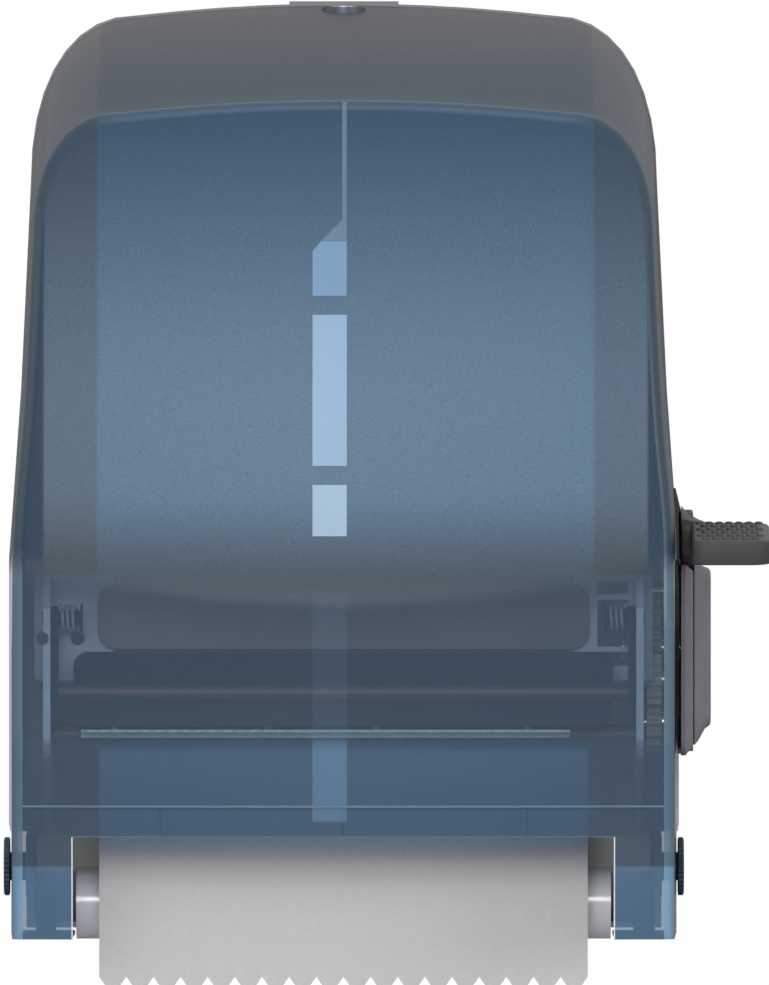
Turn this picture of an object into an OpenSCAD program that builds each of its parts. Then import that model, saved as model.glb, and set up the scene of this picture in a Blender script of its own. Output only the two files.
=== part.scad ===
// Lever roll-towel dispenser for a wall, in millimetres.
// Frame: origin at the centre of the four wall slots, on the back face;
// +X to the right as the user sees it, +Y into the wall, +Z up.

/* [Casing] */
// Room from the towel's edge to the widest side of the casing
side_room = 38.4; // [38:0.2:46]
// How much narrower each side is where the upper corners begin
side_taper = 9.2; // [4:0.2:12]
// Depth of the casing's bottom below the wall slots' centre
bottom_drop = 195; // [185:1:205]
// Room from the top of the roll to the top corners of the casing
top_room = 32; // [28:0.5:50]
// Rise of the crowned top above its corners
top_crown = 5; // [2:0.5:8]
// Room from the front of the roll to the belly of the cover
front_room = 33; // [30:0.5:45]
// Height of the widest line below the centre of the wall slots
widest_drop = 38; // [20:1:60]
// Wall thickness of the cover
cover_wall = 2.6; // [2:0.1:3.2]
// How much narrower each side gets from the rear edge to the front panel
side_draft = 2.8; // [1:0.2:4]
// How far the top falls from the rear edge to the front panel
top_fall = 42; // [30:1:50]
// Bow of the front panel across the width
front_bow = 14; // [8:1:20]
// Radius of the edge round the front panel
panel_edge_r = 6; // [4:0.5:9]

/* [Rear case] */
// Depth of the rear case's rim
rim_d = 28; // [22:1:32]
// Wall thickness of the rear case
rear_wall = 2.4; // [2:0.1:3]
// Thickness of the back plate
back_t = 3; // [2.5:0.1:4]
// Distance between wall slots across
slot_pitch_x = 160; // [140:1:190]
// Distance between wall slots up the wall
slot_pitch_z = 240; // [200:1:260]
// Width of a wall slot
slot_w = 5.5; // [4.5:0.1:6.5]
// Length of a wall slot
slot_len = 14; // [10:0.5:18]
// Height of the towel opening in the cover's front
exit_h = 42.5; // [36:0.5:48]
// Room from the towel's edge to the side of the towel opening
exit_room = 10.4; // [6:0.2:12]

/* [Cover hinge] */
// Hinge pin's distance from the wall
hinge_d = 42; // [40:0.5:46]
// Hinge pin's height above the bottom edge
hinge_up = 28; // [26:0.5:30]
// Radius of the hinge pin
hinge_pin_r = 6; // [4:0.25:7]
// Radius of the hinge pin's knob
hinge_knob_r = 12; // [10:0.5:13]
// Thickness of the hinge pin's knob
hinge_knob_t = 2.6; // [2:0.1:3.5]

/* [Towel roll] */
// Radius of the towel roll
roll_r = 94; // [85:1:95]
// Width of the towel
towel_w = 203.2; // [195:0.1:205]
// Room from the wall to the back of the roll
back_room = 12; // [10:0.5:16]
// Roll centre's height above the wall slots' centre
roll_up = 64; // [60:0.5:68]
// Inner radius of the paper core
core_r = 19.4; // [18:0.1:22]
// Wall of the paper core
core_t = 1.6; // [1:0.1:2.5]
// Thickness of the towel as it hangs
towel_t = 0.5; // [0.3:0.05:0.7]
// Height of the towel's torn edge below the casing's bottom
towel_drop = 20.5; // [5:0.5:40]

/* [Feed] */
// Radius of the rubber rings on the feed shaft
feed_r = 22; // [20:0.25:22.5]
// Radius of the feed shaft
feed_shaft_r = 4; // [3.5:0.25:4.5]
// Feed shaft's distance from the wall
feed_d = 138; // [137:0.5:140]
// Feed shaft's depth below the wall slots' centre
feed_down = 88; // [87:0.5:90]
// Radius of the pinch roller
pinch_r = 9; // [8:0.25:9.5]
// Number of rubber rings
ring_count = 5; // [3:1:6]
// Width of one rubber ring
ring_w = 22; // [14:1:26]

/* [Lever] */
// Lever shaft's distance from the wall
lever_d = 88; // [86:0.5:89]
// Lever shaft's depth below the wall slots' centre
lever_down = 75; // [74:0.5:76]
// Radius of the lever shaft
lever_shaft_r = 5; // [4:0.25:6]
// Stroke of the lever in degrees
lever_stroke = 60; // [45:1:62]
// Length of the paddle from back to front
paddle_len = 76; // [65:1:80]
// Width of the paddle
paddle_w = 32.5; // [28:0.5:36]
// Thickness of the paddle
paddle_t = 10; // [8:0.5:11]
// Downward tilt of the paddle's front in degrees
paddle_tilt = 6; // [3:0.5:9]

/* [Gears] */
// Tooth module of the gears
gear_m = 1.6; // [1.5:0.02:1.62]
// Width of the gears
gear_w = 6; // [4:0.5:7]
// Teeth of the full lever gear that the sector is cut from
lever_teeth = 48;
// Teeth of the idler
idler_teeth = 14;
// Teeth of the gear on the feed shaft
feed_teeth = 12;

/* [Frame] */
// Thickness of the side frames
frame_t = 3; // [2.5:0.1:3.5]
// Room from the towel's edge to each side frame
frame_room = 19.9; // [18.5:0.1:21]
// Thickness of the towel guide and the pinch carrier
panel_t = 2.5; // [2:0.1:3]
// Radius of the rod across the pinch carrier
rod_r = 3.5; // [3:0.1:4]

/* [Hidden] */
fit = 0.05;   // radial clearance of a shaft that turns in a bore
gap = 0.3;    // clearance between parts that pass each other
eps = 0.1;    // overshoot of a cut
$fn = 48;

towel_half = towel_w / 2;
case_half_w = towel_half + side_room;
case_half_w_top = case_half_w - side_taper;
roll_d = roll_r + back_room;
case_d = roll_d + roll_r + front_room;
exit_half_w = towel_half + exit_room;
frame_x = towel_half + frame_room;

z_bot = -bottom_drop;
z_corner = roll_up + roll_r + top_room;
y_rim = -rim_d;
hinge_y = -hinge_d;
hinge_z = z_bot + hinge_up;
rim_low_z = z_bot + exit_h;
roll_y = -roll_d;
roll_z = roll_up;
feed_y = -feed_d;
feed_z = -feed_down;
sheet_y = feed_y - feed_r - gap - towel_t / 2;
pinch_y = sheet_y - towel_t / 2 - gap - pinch_r;
pinch_z = feed_z;
lever_y = -lever_d;
lever_z = -lever_down;
frame_out = frame_x + frame_t;
gear_x0 = frame_out + 2;
gear_x1 = gear_x0 + gear_w;
case_x = case_half_w + 1;

function mix(a, b, t) = a + (b - a) * t;

// ---- casing surface -------------------------------------------------------
corner_n = 9;
crown_n = 5;
wall_n = 4;
edge_n = 3;
front_n = 6;
squareness = 2.25;
corner_w_rear = 45;
corner_w_front = 36;
corner_z_rear = z_corner - 70;
corner_z_front = z_corner - 95;

// One outline of the casing, u = 0 at the rear edge and 1 at the front panel, inset by g
function outline(u, g) =
    let(v = pow(u, 1.3),
        wk = case_half_w - side_draft * u - g,
        wc = case_half_w_top - side_draft * 0.6 * u - g,
        zc = mix(corner_z_rear, corner_z_front, u),
        zt = z_corner - top_fall * v - g,
        cw = mix(corner_w_rear, corner_w_front, u),
        xc = wc - cw,
        right = concat(
            [[wk, z_bot], [wk, -widest_drop - 60], [wk, -widest_drop],
             [mix(wk, wc, 0.55), mix(-widest_drop, zc, 0.45)]],
            [for (i = [0:corner_n]) let(a = 90 * i / corner_n)
                [xc + cw * pow(max(cos(a), 0), 2 / squareness),
                 zc + (zt - zc) * pow(sin(a), 2 / squareness)]],
            [for (i = [1:crown_n]) let(x = xc * (1 - i / crown_n))
                [x, zt + top_crown * (1 - pow(x / xc, 2))]]))
    concat(right, [for (i = [len(right) - 2:-1:0]) [-right[i][0], right[i][1]]]);

// Depth of the front panel at a point, g behind the outer face
belly_r_up = 595;
belly_r_down = 1400;
belly_z = -widest_drop - 2;
function front_y(x, z, g) =
    -case_d + g + front_bow * pow(x / case_half_w, 2)
    + pow(z - belly_z, 2) / (2 * (z > belly_z ? belly_r_up : belly_r_down));

// Points of one face of the cover, g inside the outer one: rings that run from the rear edge over the
// rounded edge and shrink across the front panel to the middle of its bottom edge
function face_rings(g, y_back) =
    let(r = max(panel_edge_r - g, 1.5), crease = outline(1, g), panel = outline(1, g + r))
    concat(
        [for (k = [0:wall_n]) let(u = k / wall_n, o = outline(u, g))
            [for (s = [0:len(o) - 1])
                [o[s][0], mix(y_back, front_y(crease[s][0], crease[s][1], g) + r, u), o[s][1]]]],
        [for (k = [1:edge_n]) let(a = 90 * k / edge_n, o = outline(1, g + r * (1 - cos(a))))
            [for (p = o) [p[0], front_y(p[0], p[1], g) + r * (1 - sin(a)), p[1]]]],
        [for (k = [1:front_n - 1]) let(f = 1 - k / front_n)
            [for (p = panel) let(x = p[0] * f, z = mix(z_bot, p[1], f)) [x, front_y(x, z, g), z]]]);

// The cover's shell before its holes, open at the back and below
module shell(wall, y_back) {
    outer = face_rings(0, y_back);
    inner = face_rings(wall, y_back);
    n = len(outer[0]);
    m = len(outer);
    size = n * m + 1;
    points = concat([for (ring = outer) each ring], [[0, front_y(0, z_bot, 0), z_bot]],
                    [for (ring = inner) each ring], [[0, front_y(0, z_bot, wall), z_bot]]);
    skin = concat(
        [for (k = [0:m - 2], s = [0:n - 2]) let(a = k * n + s, b = a + n)
            each [[a, b, b + 1], [a, b + 1, a + 1]]],
        [for (s = [0:n - 2]) [(m - 1) * n + s, m * n, (m - 1) * n + s + 1]]);
    right = concat([for (k = [0:m - 1]) k * n], [m * n]);
    left = concat([for (k = [0:m - 1]) k * n + n - 1], [m * n]);
    polyhedron(points, concat(
        skin,
        [for (f = skin) [f[2] + size, f[1] + size, f[0] + size]],
        [for (s = [0:n - 2]) [s, s + 1, s + 1 + size, s + size]],
        [for (i = [0:m - 1]) [right[i + 1], right[i], right[i] + size, right[i + 1] + size]],
        [for (i = [0:m - 1]) [left[i], left[i + 1], left[i + 1] + size, left[i] + size]]), convexity = 6);
}

// ---- helpers --------------------------------------------------------------
// Box between two corners
module block(a, b) {
    translate([min(a[0], b[0]), min(a[1], b[1]), min(a[2], b[2])])
        cube([abs(b[0] - a[0]), abs(b[1] - a[1]), abs(b[2] - a[2])]);
}

// Round bar along X
module xbar(r, x0, x1, y, z) {
    translate([min(x0, x1), y, z]) rotate([0, 90, 0]) cylinder(r = r, h = abs(x1 - x0));
}

// Extrudes a [y, z] drawing along X
module along_x(x0, x1) {
    translate([x0, 0, 0]) rotate([90, 0, 90]) linear_extrude(x1 - x0) children();
}

// Extrudes an [x, z] drawing from the front at y0 back to y1
module along_y(y0, y1) {
    translate([0, y1, 0]) rotate([90, 0, 0]) linear_extrude(y1 - y0) children();
}

module both_sides() {
    children();
    mirror([1, 0, 0]) children();
}

// Rectangle with rounded corners, from its low to its high corner
module round_rect(a, b, r) {
    translate(a + [r, 0]) square([b[0] - a[0] - 2 * r, b[1] - a[1]]);
    translate(a + [0, r]) square([b[0] - a[0], b[1] - a[1] - 2 * r]);
    for (x = [a[0] + r, b[0] - r], z = [a[1] + r, b[1] - r]) translate([x, z]) circle(r);
}

// ---- casing ---------------------------------------------------------------
ear_x1 = case_half_w - side_draft - cover_wall - 1;
ear_t = 3.2;
ear_r = hinge_pin_r + 7;
lever_span = norm([lever_y - hinge_y, lever_z - hinge_z]);
lever_dir = atan2(lever_z - hinge_z, lever_y - hinge_y);
notch_half = 25;
lock_r = 9;
lock_y = y_rim - 16;
lock_top_z = z_corner + top_crown - 1.4;
thumb_half_w = 23;
cheek_d = 60;

// Slot in the cover's right wall that lets the lever mechanism pass as the cover swings
module notch_shape() {
    start = lever_dir + 12;
    far = lever_span + notch_half;
    translate([hinge_y, hinge_z]) intersection() {
        difference() {
            circle(far, $fn = 96);
            circle(lever_span - notch_half, $fn = 96);
        }
        polygon([[0, 0], far * 2 * [cos(start), sin(start)], [0, far * 3], far * 2 * [cos(70), sin(70)]]);
    }
}

module cover() {
    color([0.3, 0.45, 0.58, 0.6]) difference() {
        shell(cover_wall, y_rim - gap);
        block([-exit_half_w, -case_d - 50, z_bot - 30], [exit_half_w, y_rim - cheek_d, rim_low_z]);
        both_sides() xbar(hinge_pin_r + fit, case_half_w - 15, case_half_w + 5, hinge_y, hinge_z);
        along_x(case_half_w - 15, case_half_w + 5) notch_shape();
        translate([0, lock_y, lock_top_z - 40]) cylinder(r = lock_r + gap, h = 60);
    }
}

module rear_outline(g) {
    polygon([for (p = outline(0, g)) [p[0], max(p[1], rim_low_z)]]);
}

slot_places = [for (x = [-1, 1], z = [-1, 1]) [x * slot_pitch_x / 2, z * slot_pitch_z / 2]];
rear_low_half = ear_x1;
rear_low_z = z_bot + 2;
catch_w = 26;

module wall_slot() {
    for (x = [-1, 1]) translate([x * (slot_len - slot_w) / 2, 0]) circle(slot_w / 2);
    square([slot_len - slot_w, slot_w], center = true);
}

module rear_case() {
    color([0.72, 0.74, 0.84]) {
        difference() {
            union() {
                along_y(-back_t, 0) rear_outline(-1);
                along_y(y_rim, 0) difference() {
                    rear_outline(-1);
                    rear_outline(rear_wall - 1);
                    translate([-300, rim_low_z - 1]) square([600, rear_wall + 1]);
                }
                block([-rear_low_half, -back_t, rear_low_z], [rear_low_half, 0, rim_low_z + 4]);
                block([-rear_low_half, y_rim, rear_low_z], [rear_low_half, 0, rear_low_z + rear_wall]);
                both_sides() {
                    block([ear_x1 - ear_t, y_rim, rear_low_z], [ear_x1, 0, rim_low_z]);
                    along_x(ear_x1 - ear_t, ear_x1) {
                        translate([hinge_y, hinge_z]) circle(ear_r);
                        translate([hinge_y, hinge_z - ear_r]) square([hinge_d - back_t, 2 * ear_r]);
                    }
                    // shoulder that joins the narrow foot to the wide rim
                    block([ear_x1 - ear_t, y_rim, rim_low_z], [case_x - 0.5, 0, rim_low_z + rear_wall]);
                    // lugs that carry the roll arms
                    for (z = [-1, 1])
                        block([arm_x - 6, arm_pin_y - 6, roll_z + z * lug_gap - 3 * (1 - z) / 2],
                              [arm_x + 9, -back_t + eps, roll_z + z * lug_gap + 3 * (1 + z) / 2]);
                    // bosses that the side frames are screwed to
                    for (z = frame_screw_z)
                        block([frame_x - 9, frame_screw_y - 7, z - 6], [frame_x, -back_t / 2, z + 6]);
                }
                // low pad over the lock, for the thumb
                block([-thumb_half_w, y_rim, z_corner],
                      [thumb_half_w, y_rim + 16, z_corner + top_crown + 1.9]);
                // catch that the lock's cam turns under
                block([-catch_w / 2, lock_y + lock_r + 3, lock_top_z - 19],
                      [catch_w / 2, y_rim + 6, lock_top_z - 16]);
                block([-catch_w / 2, y_rim + 3, lock_top_z - 19], [catch_w / 2, 0, lock_top_z - 16]);
            }
            along_y(-back_t - 1, 1) for (p = slot_places) translate(p) wall_slot();
            both_sides() {
                for (z = frame_screw_z) xbar(screw_r, frame_x - 8, frame_x + 1, frame_screw_y, z);
                xbar(hinge_pin_r, ear_x1 - ear_t - 1, ear_x1 + 1, hinge_y, hinge_z);
                translate([arm_x, arm_pin_y, roll_z - lug_gap - 10])
                    cylinder(r = arm_pin_r, h = 2 * lug_gap + 20);
            }
        }
    }
}

module hinge_pins() {
    color([0.12, 0.16, 0.22]) both_sides() {
        xbar(hinge_pin_r, ear_x1 - ear_t - 2, case_half_w + gap, hinge_y, hinge_z);
        xbar(hinge_knob_r, case_half_w + gap, case_half_w + gap + hinge_knob_t, hinge_y, hinge_z);
    }
}

// ---- lock -----------------------------------------------------------------
lock_key_w = 2;
module lock_sleeve() {
    color([0.25, 0.3, 0.36]) translate([0, lock_y, lock_top_z - 14]) difference() {
        union() {
            cylinder(r = lock_r, h = 14.4);
            translate([0, 0, 14 - cover_wall - 6.5]) cylinder(r = lock_r + 3.5, h = 3);
        }
        translate([0, 0, -1]) cylinder(r = lock_r - 3 + fit, h = 17);
    }
}

module lock_barrel() {
    color([0.6, 0.62, 0.65]) translate([0, lock_y, lock_top_z - 17]) difference() {
        cylinder(r = lock_r - 3, h = 18);
        translate([-lock_key_w / 2, -4, 14]) cube([lock_key_w, 8, 5]);
    }
}

module lock_cam() {
    color([0.55, 0.57, 0.6]) translate([0, lock_y, lock_top_z - 17 - 2.5]) {
        cylinder(r = lock_r - 3, h = 2.5);
        translate([-4, 0, -2]) cube([8, lock_r + 8, 2]);
        translate([-4, -4, -2]) cube([8, 8, 2.1]);
    }
}

// ---- side frames ----------------------------------------------------------
frame_top = feed_z + 44;
frame_low = feed_z - 62;
frame_front = pinch_y - 27.9;
frame_back = -back_t;
frame_mid = lever_y + 28;
frame_screw_y = -14;
frame_screw_z = [frame_top - 14, frame_low + 14];
flange_y = sheet_y - 1;
flange_in = towel_half - 6;
flange_out = frame_x + 7;
flange_low = pinch_z;
flange_step_x = towel_half + 2.5;
flange_step_z = pinch_z + pinch_r + 2;
link_pin_y = pinch_y - 11.9;
link_pin_z = pinch_z + 26;
link_pin_r = 3;
bush_r = feed_shaft_r + 3;
blade_rod_y = sheet_y - 8.5;
blade_rod_z = feed_z - 22.5;
blade_rod_r = 4.4;

// Web of one side frame, drawn from the side
module frame_web() {
    difference() {
        polygon([[frame_back, frame_top - 2], [frame_back, frame_low + 6], [frame_mid, frame_low],
                 [frame_front + 48, frame_low], [frame_front, frame_low + 30],
                 [frame_front, frame_top - 14], [frame_front + 12, frame_top], [frame_mid, frame_top]]);
        translate([feed_y, feed_z]) circle(bush_r);
        translate([blade_rod_y, blade_rod_z]) circle(blade_rod_r);
        translate([link_pin_y, link_pin_z]) circle(link_pin_r + fit);
        for (p = [[0, 28], [-40, 22]]) translate([frame_mid + p[0], frame_low + p[1]]) circle(11);
        for (z = frame_screw_z) translate([frame_screw_y, z]) circle(screw_r);
    }
}

// Front-facing plate of a side frame, stepped to clear the pinch roller
module flange() {
    along_y(flange_y - frame_t, flange_y) {
        round_rect([flange_in, flange_step_z], [flange_out, frame_top], 2);
        round_rect([flange_step_x, flange_low], [flange_out, frame_top], 2);
    }
}

module side_frame_left() {
    color([0.36, 0.47, 0.6]) difference() {
        union() {
            along_x(-frame_out, -frame_x) frame_web();
            mirror([1, 0, 0]) flange();
        }
        for (x = [flange_out - 3.5, flange_out - 18])
            translate([-x, 0, (frame_top + flange_low) / 2 - 4.5]) rotate([90, 0, 0])
                cylinder(r = 2.9, h = 300);
    }
}

module side_frame_right() {
    win_x0 = flange_in + 10;
    color([0.36, 0.47, 0.6]) difference() {
        union() {
            along_x(frame_x, frame_out) frame_web();
            flange();
            xbar(lever_shaft_r + 4, frame_x - 4, frame_out, lever_y, lever_z);
        }
        xbar(lever_shaft_r + fit, frame_x - 10, frame_out + 5, lever_y, lever_z);
        xbar(idler_pin_r, frame_x - 10, frame_out + 5, idler_y, idler_z);
        for (drop = [[8, 3], [30, 10.5], [38, 32]])
            block([win_x0, flange_y - frame_t - 1, frame_top - drop[0]],
                  [frame_x - 3, flange_y + 1, frame_top - drop[1]]);
        for (p = standoffs) xbar(screw_r, frame_x - 10, frame_out + 5, p[0], p[1]);
    }
}

module frame_screws() {
    color("silver") both_sides() for (z = frame_screw_z) {
        xbar(screw_r, frame_x - 8, frame_out, frame_screw_y, z);
        xbar(screw_r + 1.6, frame_out, frame_out + 1.4, frame_screw_y, z);
    }
}

// Towel guide in front of the feed roller
guide_top = frame_top - 3.6;
guide_low = pinch_z + pinch_r + 4;
guide_half = towel_half + 0.6;
module guide_panel() {
    color([0.3, 0.33, 0.37]) difference() {
        along_y(flange_y - frame_t - panel_t, flange_y - frame_t)
            round_rect([-guide_half, guide_low], [guide_half, guide_top], 7.5);
        for (p = guide_places) translate([p[0], 0, p[1]]) rotate([90, 0, 0])
            cylinder(r = 1.6, h = 300);
    }
}

guide_places = [for (x = [-1, 1], z = [-12, 0])
    [x * (flange_in + guide_half) / 2, (guide_top + guide_low) / 2 + z + 6]];
module guide_screws() {
    color("silver") for (p = guide_places) translate([p[0], flange_y, p[1]]) rotate([90, 0, 0]) {
        translate([0, 0, frame_t]) cylinder(r = 1.6, h = panel_t);
        translate([0, 0, frame_t + panel_t]) cylinder(r = 2.8, h = 1.4);
    }
}

// ---- feed roller ----------------------------------------------------------
module feed_bushes() {
    color([0.8, 0.78, 0.7]) both_sides() difference() {
        union() {
            xbar(bush_r, frame_x - 1, frame_out + 0.5, feed_y, feed_z);
            xbar(bush_r + 2, frame_x - 2, frame_x, feed_y, feed_z);
        }
        xbar(feed_shaft_r + fit, frame_x - 5, frame_out + 5, feed_y, feed_z);
    }
}

module feed_shaft() {
    color("silver") xbar(feed_shaft_r, -frame_out - 2, gear_x1 + 1.2, feed_y, feed_z);
}

ring_pitch = (towel_w - ring_w) / (ring_count - 1);
module feed_rollers() {
    color([0.12, 0.12, 0.13]) for (i = [0:ring_count - 1]) let(x = -towel_half + i * ring_pitch)
        difference() {
            xbar(feed_r, x, x + ring_w, feed_y, feed_z);
            xbar(hub_r, x - 1, x + ring_w + 1, feed_y, feed_z);
        }
}

hub_r = feed_r - 4;
module feed_core() {
    color([0.2, 0.2, 0.22]) difference() {
        union() {
            xbar(hub_r - 2, -towel_half - 4, towel_half + 4, feed_y, feed_z);
            for (i = [0:ring_count - 1]) let(x = -towel_half + i * ring_pitch)
                xbar(hub_r, x, x + ring_w, feed_y, feed_z);
        }
        xbar(feed_shaft_r, -towel_half - 9, towel_half + 9, feed_y, feed_z);
    }
}

// ---- pinch roller and its carrier -----------------------------------------
rod_y = pinch_y - 19;
rod_z = pinch_z - 4.8;
link_t = 3;
link_x0 = frame_x - gap - link_t;
carrier_half = towel_half + 10.4;
carrier_top = pinch_z + 12;
carrier_low = pinch_z - 18.8;
carrier_y = rod_y + rod_r;
pinch_shaft_r = 2.5;
module pinch_roller() {
    color([0.16, 0.16, 0.18]) difference() {
        xbar(pinch_r, -towel_half, towel_half, pinch_y, pinch_z);
        xbar(pinch_shaft_r + fit, -towel_half - 5, towel_half + 5, pinch_y, pinch_z);
    }
}

module pinch_shaft() {
    color("silver") xbar(pinch_shaft_r, -carrier_half, carrier_half, pinch_y, pinch_z);
}

module pinch_carrier() {
    color([0.15, 0.19, 0.25]) difference() {
        union() {
            along_y(carrier_y, carrier_y + panel_t)
                round_rect([-carrier_half, carrier_low], [carrier_half, carrier_top], 6);
            both_sides() {
                along_x(carrier_half - 3, carrier_half) {
                    translate([pinch_y, pinch_z]) circle(pinch_shaft_r + 2.2);
                    translate([carrier_y, pinch_z - pinch_shaft_r - 2.2])
                        square([pinch_y - carrier_y, 2 * pinch_shaft_r + 4.4]);
                }
                // cradles behind the rod
                for (x = [20, 84]) along_x(x, x + 12) translate([rod_y, rod_z - rod_r - 1.6])
                    square([rod_r + 1, 2 * rod_r + 3.2]);
            }
        }
        xbar(rod_r, -200, 200, rod_y, rod_z);
        xbar(pinch_shaft_r, -200, 200, pinch_y, pinch_z);
    }
}

module carrier_rod() {
    color([0.55, 0.48, 0.46]) xbar(rod_r, -link_x0 - link_t, link_x0 + link_t, rod_y, rod_z);
}

// Links that hang the carrier from the side frames
module carrier_links() {
    color([0.17, 0.2, 0.26]) both_sides() {
        along_x(link_x0, link_x0 + link_t) difference() {
            union() {
                polygon([[link_pin_y - 5, link_pin_z], [link_pin_y + 5, link_pin_z],
                         [rod_y + rod_r + 2.5, rod_z], [rod_y - rod_r - 1.5, rod_z]]);
                translate([link_pin_y, link_pin_z]) circle(link_pin_r + 2);
                translate([rod_y, rod_z]) circle(rod_r + 2);
            }
            translate([rod_y, rod_z]) circle(rod_r);
        }
        xbar(link_pin_r, link_x0 - 9, frame_out + 0.5, link_pin_y, link_pin_z);
        xbar(link_pin_r + 3, link_x0 - 10, link_x0 - 9, link_pin_y, link_pin_z);
    }
}

// Unbroken helix of round wire along X: turns of mean radius r from x0 to x1
module spring_x(r, wire, x0, x1, turns, y, z, start) {
    steps = 16;
    sides = 6;
    n = round(turns * steps);
    points = [for (i = [0:n], k = [0:sides - 1])
        let(a = start + 360 * i / steps, b = 360 * k / sides, q = r + wire * cos(b))
        [mix(x0, x1, i / n) + wire * sin(b), y + q * cos(a), z + q * sin(a)]];
    faces = concat(
        [[for (k = [0:sides - 1]) k]],
        [for (i = [0:n - 1], k = [0:sides - 1], h = [0, 1]) let(l = (k + 1) % sides)
            h == 0 ? [i * sides + k, (i + 1) * sides + k, (i + 1) * sides + l]
                   : [i * sides + k, (i + 1) * sides + l, i * sides + l]],
        [[for (k = [sides - 1:-1:0]) n * sides + k]]);
    polyhedron(points, faces, convexity = 6);
}

pinch_spring_r = link_pin_r + 2;
module pinch_springs() {
    color("silver") for (x = [-link_x0 + 1.1, link_x0 - 7.5])
        spring_x(pinch_spring_r, 0.7, x, x + 6.4, 3, link_pin_y, link_pin_z, 90);
}

// ---- gears ----------------------------------------------------------------
press_angle = 25;
backlash = 0.22;
gear_r_lever = gear_m * lever_teeth / 2;
gear_r_idler = gear_m * idler_teeth / 2;
gear_r_feed = gear_m * feed_teeth / 2;
centre_play = 0.12;
reach_a = gear_r_lever + gear_r_idler + centre_play;
reach_b = gear_r_idler + gear_r_feed + centre_play;
feed_span = norm([feed_y - lever_y, feed_z - lever_z]);
feed_dir = atan2(feed_z - lever_z, feed_y - lever_y);
idler_dir = feed_dir + acos((reach_a * reach_a + feed_span * feed_span - reach_b * reach_b)
                            / (2 * reach_a * feed_span));
idler_y = lever_y + reach_a * cos(idler_dir);
idler_z = lever_z + reach_a * sin(idler_dir);
idler_pin_r = 3;
// turn of each gear that puts a tooth of one in a gap of the next
idler_turn = idler_dir + 180 - 180 / idler_teeth;
second_dir = atan2(feed_z - idler_z, feed_y - idler_y);
idler_phase = (second_dir - idler_turn) * idler_teeth / 360;
feed_turn = second_dir + 180 - 180 / feed_teeth + (idler_phase - floor(idler_phase)) * 360 / feed_teeth;

function inv(a) = tan(a) * 180 / PI - a;
function half_tooth(r, n) = let(rp = gear_m * n / 2, rb = rp * cos(press_angle))
    90 / n - backlash / rp * 90 / PI + inv(press_angle) - inv(acos(min(1, rb / max(r, rb))));

// Spur gear outline with involute flanks, one tooth centred on the given turn
module gear_shape(n, turn) {
    rp = gear_m * n / 2;
    root = rp - 1.2 * gear_m;
    tip = rp + 0.85 * gear_m;
    levels = [root, rp - 0.6 * gear_m, rp - 0.2 * gear_m, rp + 0.2 * gear_m, rp + 0.55 * gear_m, tip];
    polygon([for (i = [0:n - 1]) each concat(
        [for (r = levels) let(a = turn + 360 * i / n - half_tooth(r, n)) [r * cos(a), r * sin(a)]],
        [for (j = [len(levels) - 1:-1:0]) let(r = levels[j], a = turn + 360 * i / n + half_tooth(r, n))
            [r * cos(a), r * sin(a)]])]);
}

sector_spare = 14;
sector_from = idler_dir - lever_stroke - sector_spare;
sector_to = idler_dir + sector_spare;
module lever_gear() {
    reach = gear_r_lever * 1.5;
    mid = (sector_from + sector_to) / 2;
    color([0.85, 0.83, 0.78]) along_x(gear_x0, gear_x1) translate([lever_y, lever_z]) difference() {
        union() {
            intersection() {
                gear_shape(lever_teeth, idler_dir);
                polygon([[0, 0], reach * [cos(sector_from), sin(sector_from)],
                         reach * [cos(mid), sin(mid)], reach * [cos(sector_to), sin(sector_to)]]);
            }
            circle(lever_shaft_r + 6);
        }
        circle(lever_shaft_r);
    }
}

module idler_gear() {
    color([0.85, 0.83, 0.78]) along_x(gear_x0, gear_x1) translate([idler_y, idler_z]) difference() {
        gear_shape(idler_teeth, idler_turn);
        circle(idler_pin_r + fit);
    }
}

module idler_pin() {
    color("silver") {
        xbar(idler_pin_r, frame_x, gear_x1 + gap, idler_y, idler_z);
        xbar(idler_pin_r + 2.5, gear_x1 + gap, gear_x1 + gap + 1, idler_y, idler_z);
    }
}

clutch_r = feed_shaft_r + 1.8;
module feed_gear() {
    color([0.85, 0.83, 0.78]) along_x(gear_x0, gear_x1) translate([feed_y, feed_z]) difference() {
        gear_shape(feed_teeth, feed_turn);
        circle(clutch_r + fit);
    }
}

module clutch_hub() {
    color([0.5, 0.5, 0.52]) difference() {
        xbar(clutch_r, gear_x0 - 1, gear_x1, feed_y, feed_z);
        xbar(feed_shaft_r, gear_x0 - 5, gear_x1 + 5, feed_y, feed_z);
    }
}

// ---- lever ----------------------------------------------------------------
arm_plane = case_half_w + 1.3;
arm_w = 4.5;
housing_x0 = case_half_w + 1;
housing_x1 = case_half_w + 13.3;
housing_t = 2.2;
screw_r = 1.7;
standoffs = [for (r = [lever_span - 13, lever_span + 14])
    [hinge_y + r * cos(98), hinge_z + r * sin(98)]];
paddle_x1 = case_half_w + 37.2;
paddle_x0 = paddle_x1 - paddle_w;
paddle_y1 = lever_y - 62;
paddle_top_z = lever_z + 52.8;
paddle_root = 8;

module lever_shaft() {
    color("silver") xbar(lever_shaft_r, frame_x - 5, arm_plane + arm_w, lever_y, lever_z);
}

skirt_r = 35;
skirt_t = 2;
gusset_w = 15.4;
// Side outline of the arm, from the lever shaft
arm_side = [[9, 4], [-4, -8], [-14, -2], [-46, 35],
    [paddle_y1 - paddle_root - lever_y, paddle_top_z - 14.3 - lever_z],
    [paddle_y1 - paddle_root - lever_y, paddle_top_z - 3.3 - lever_z],
    [-54, 55], [-40, 64.5], [-26, 66], [-16, 53], [4, 16]];
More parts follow.
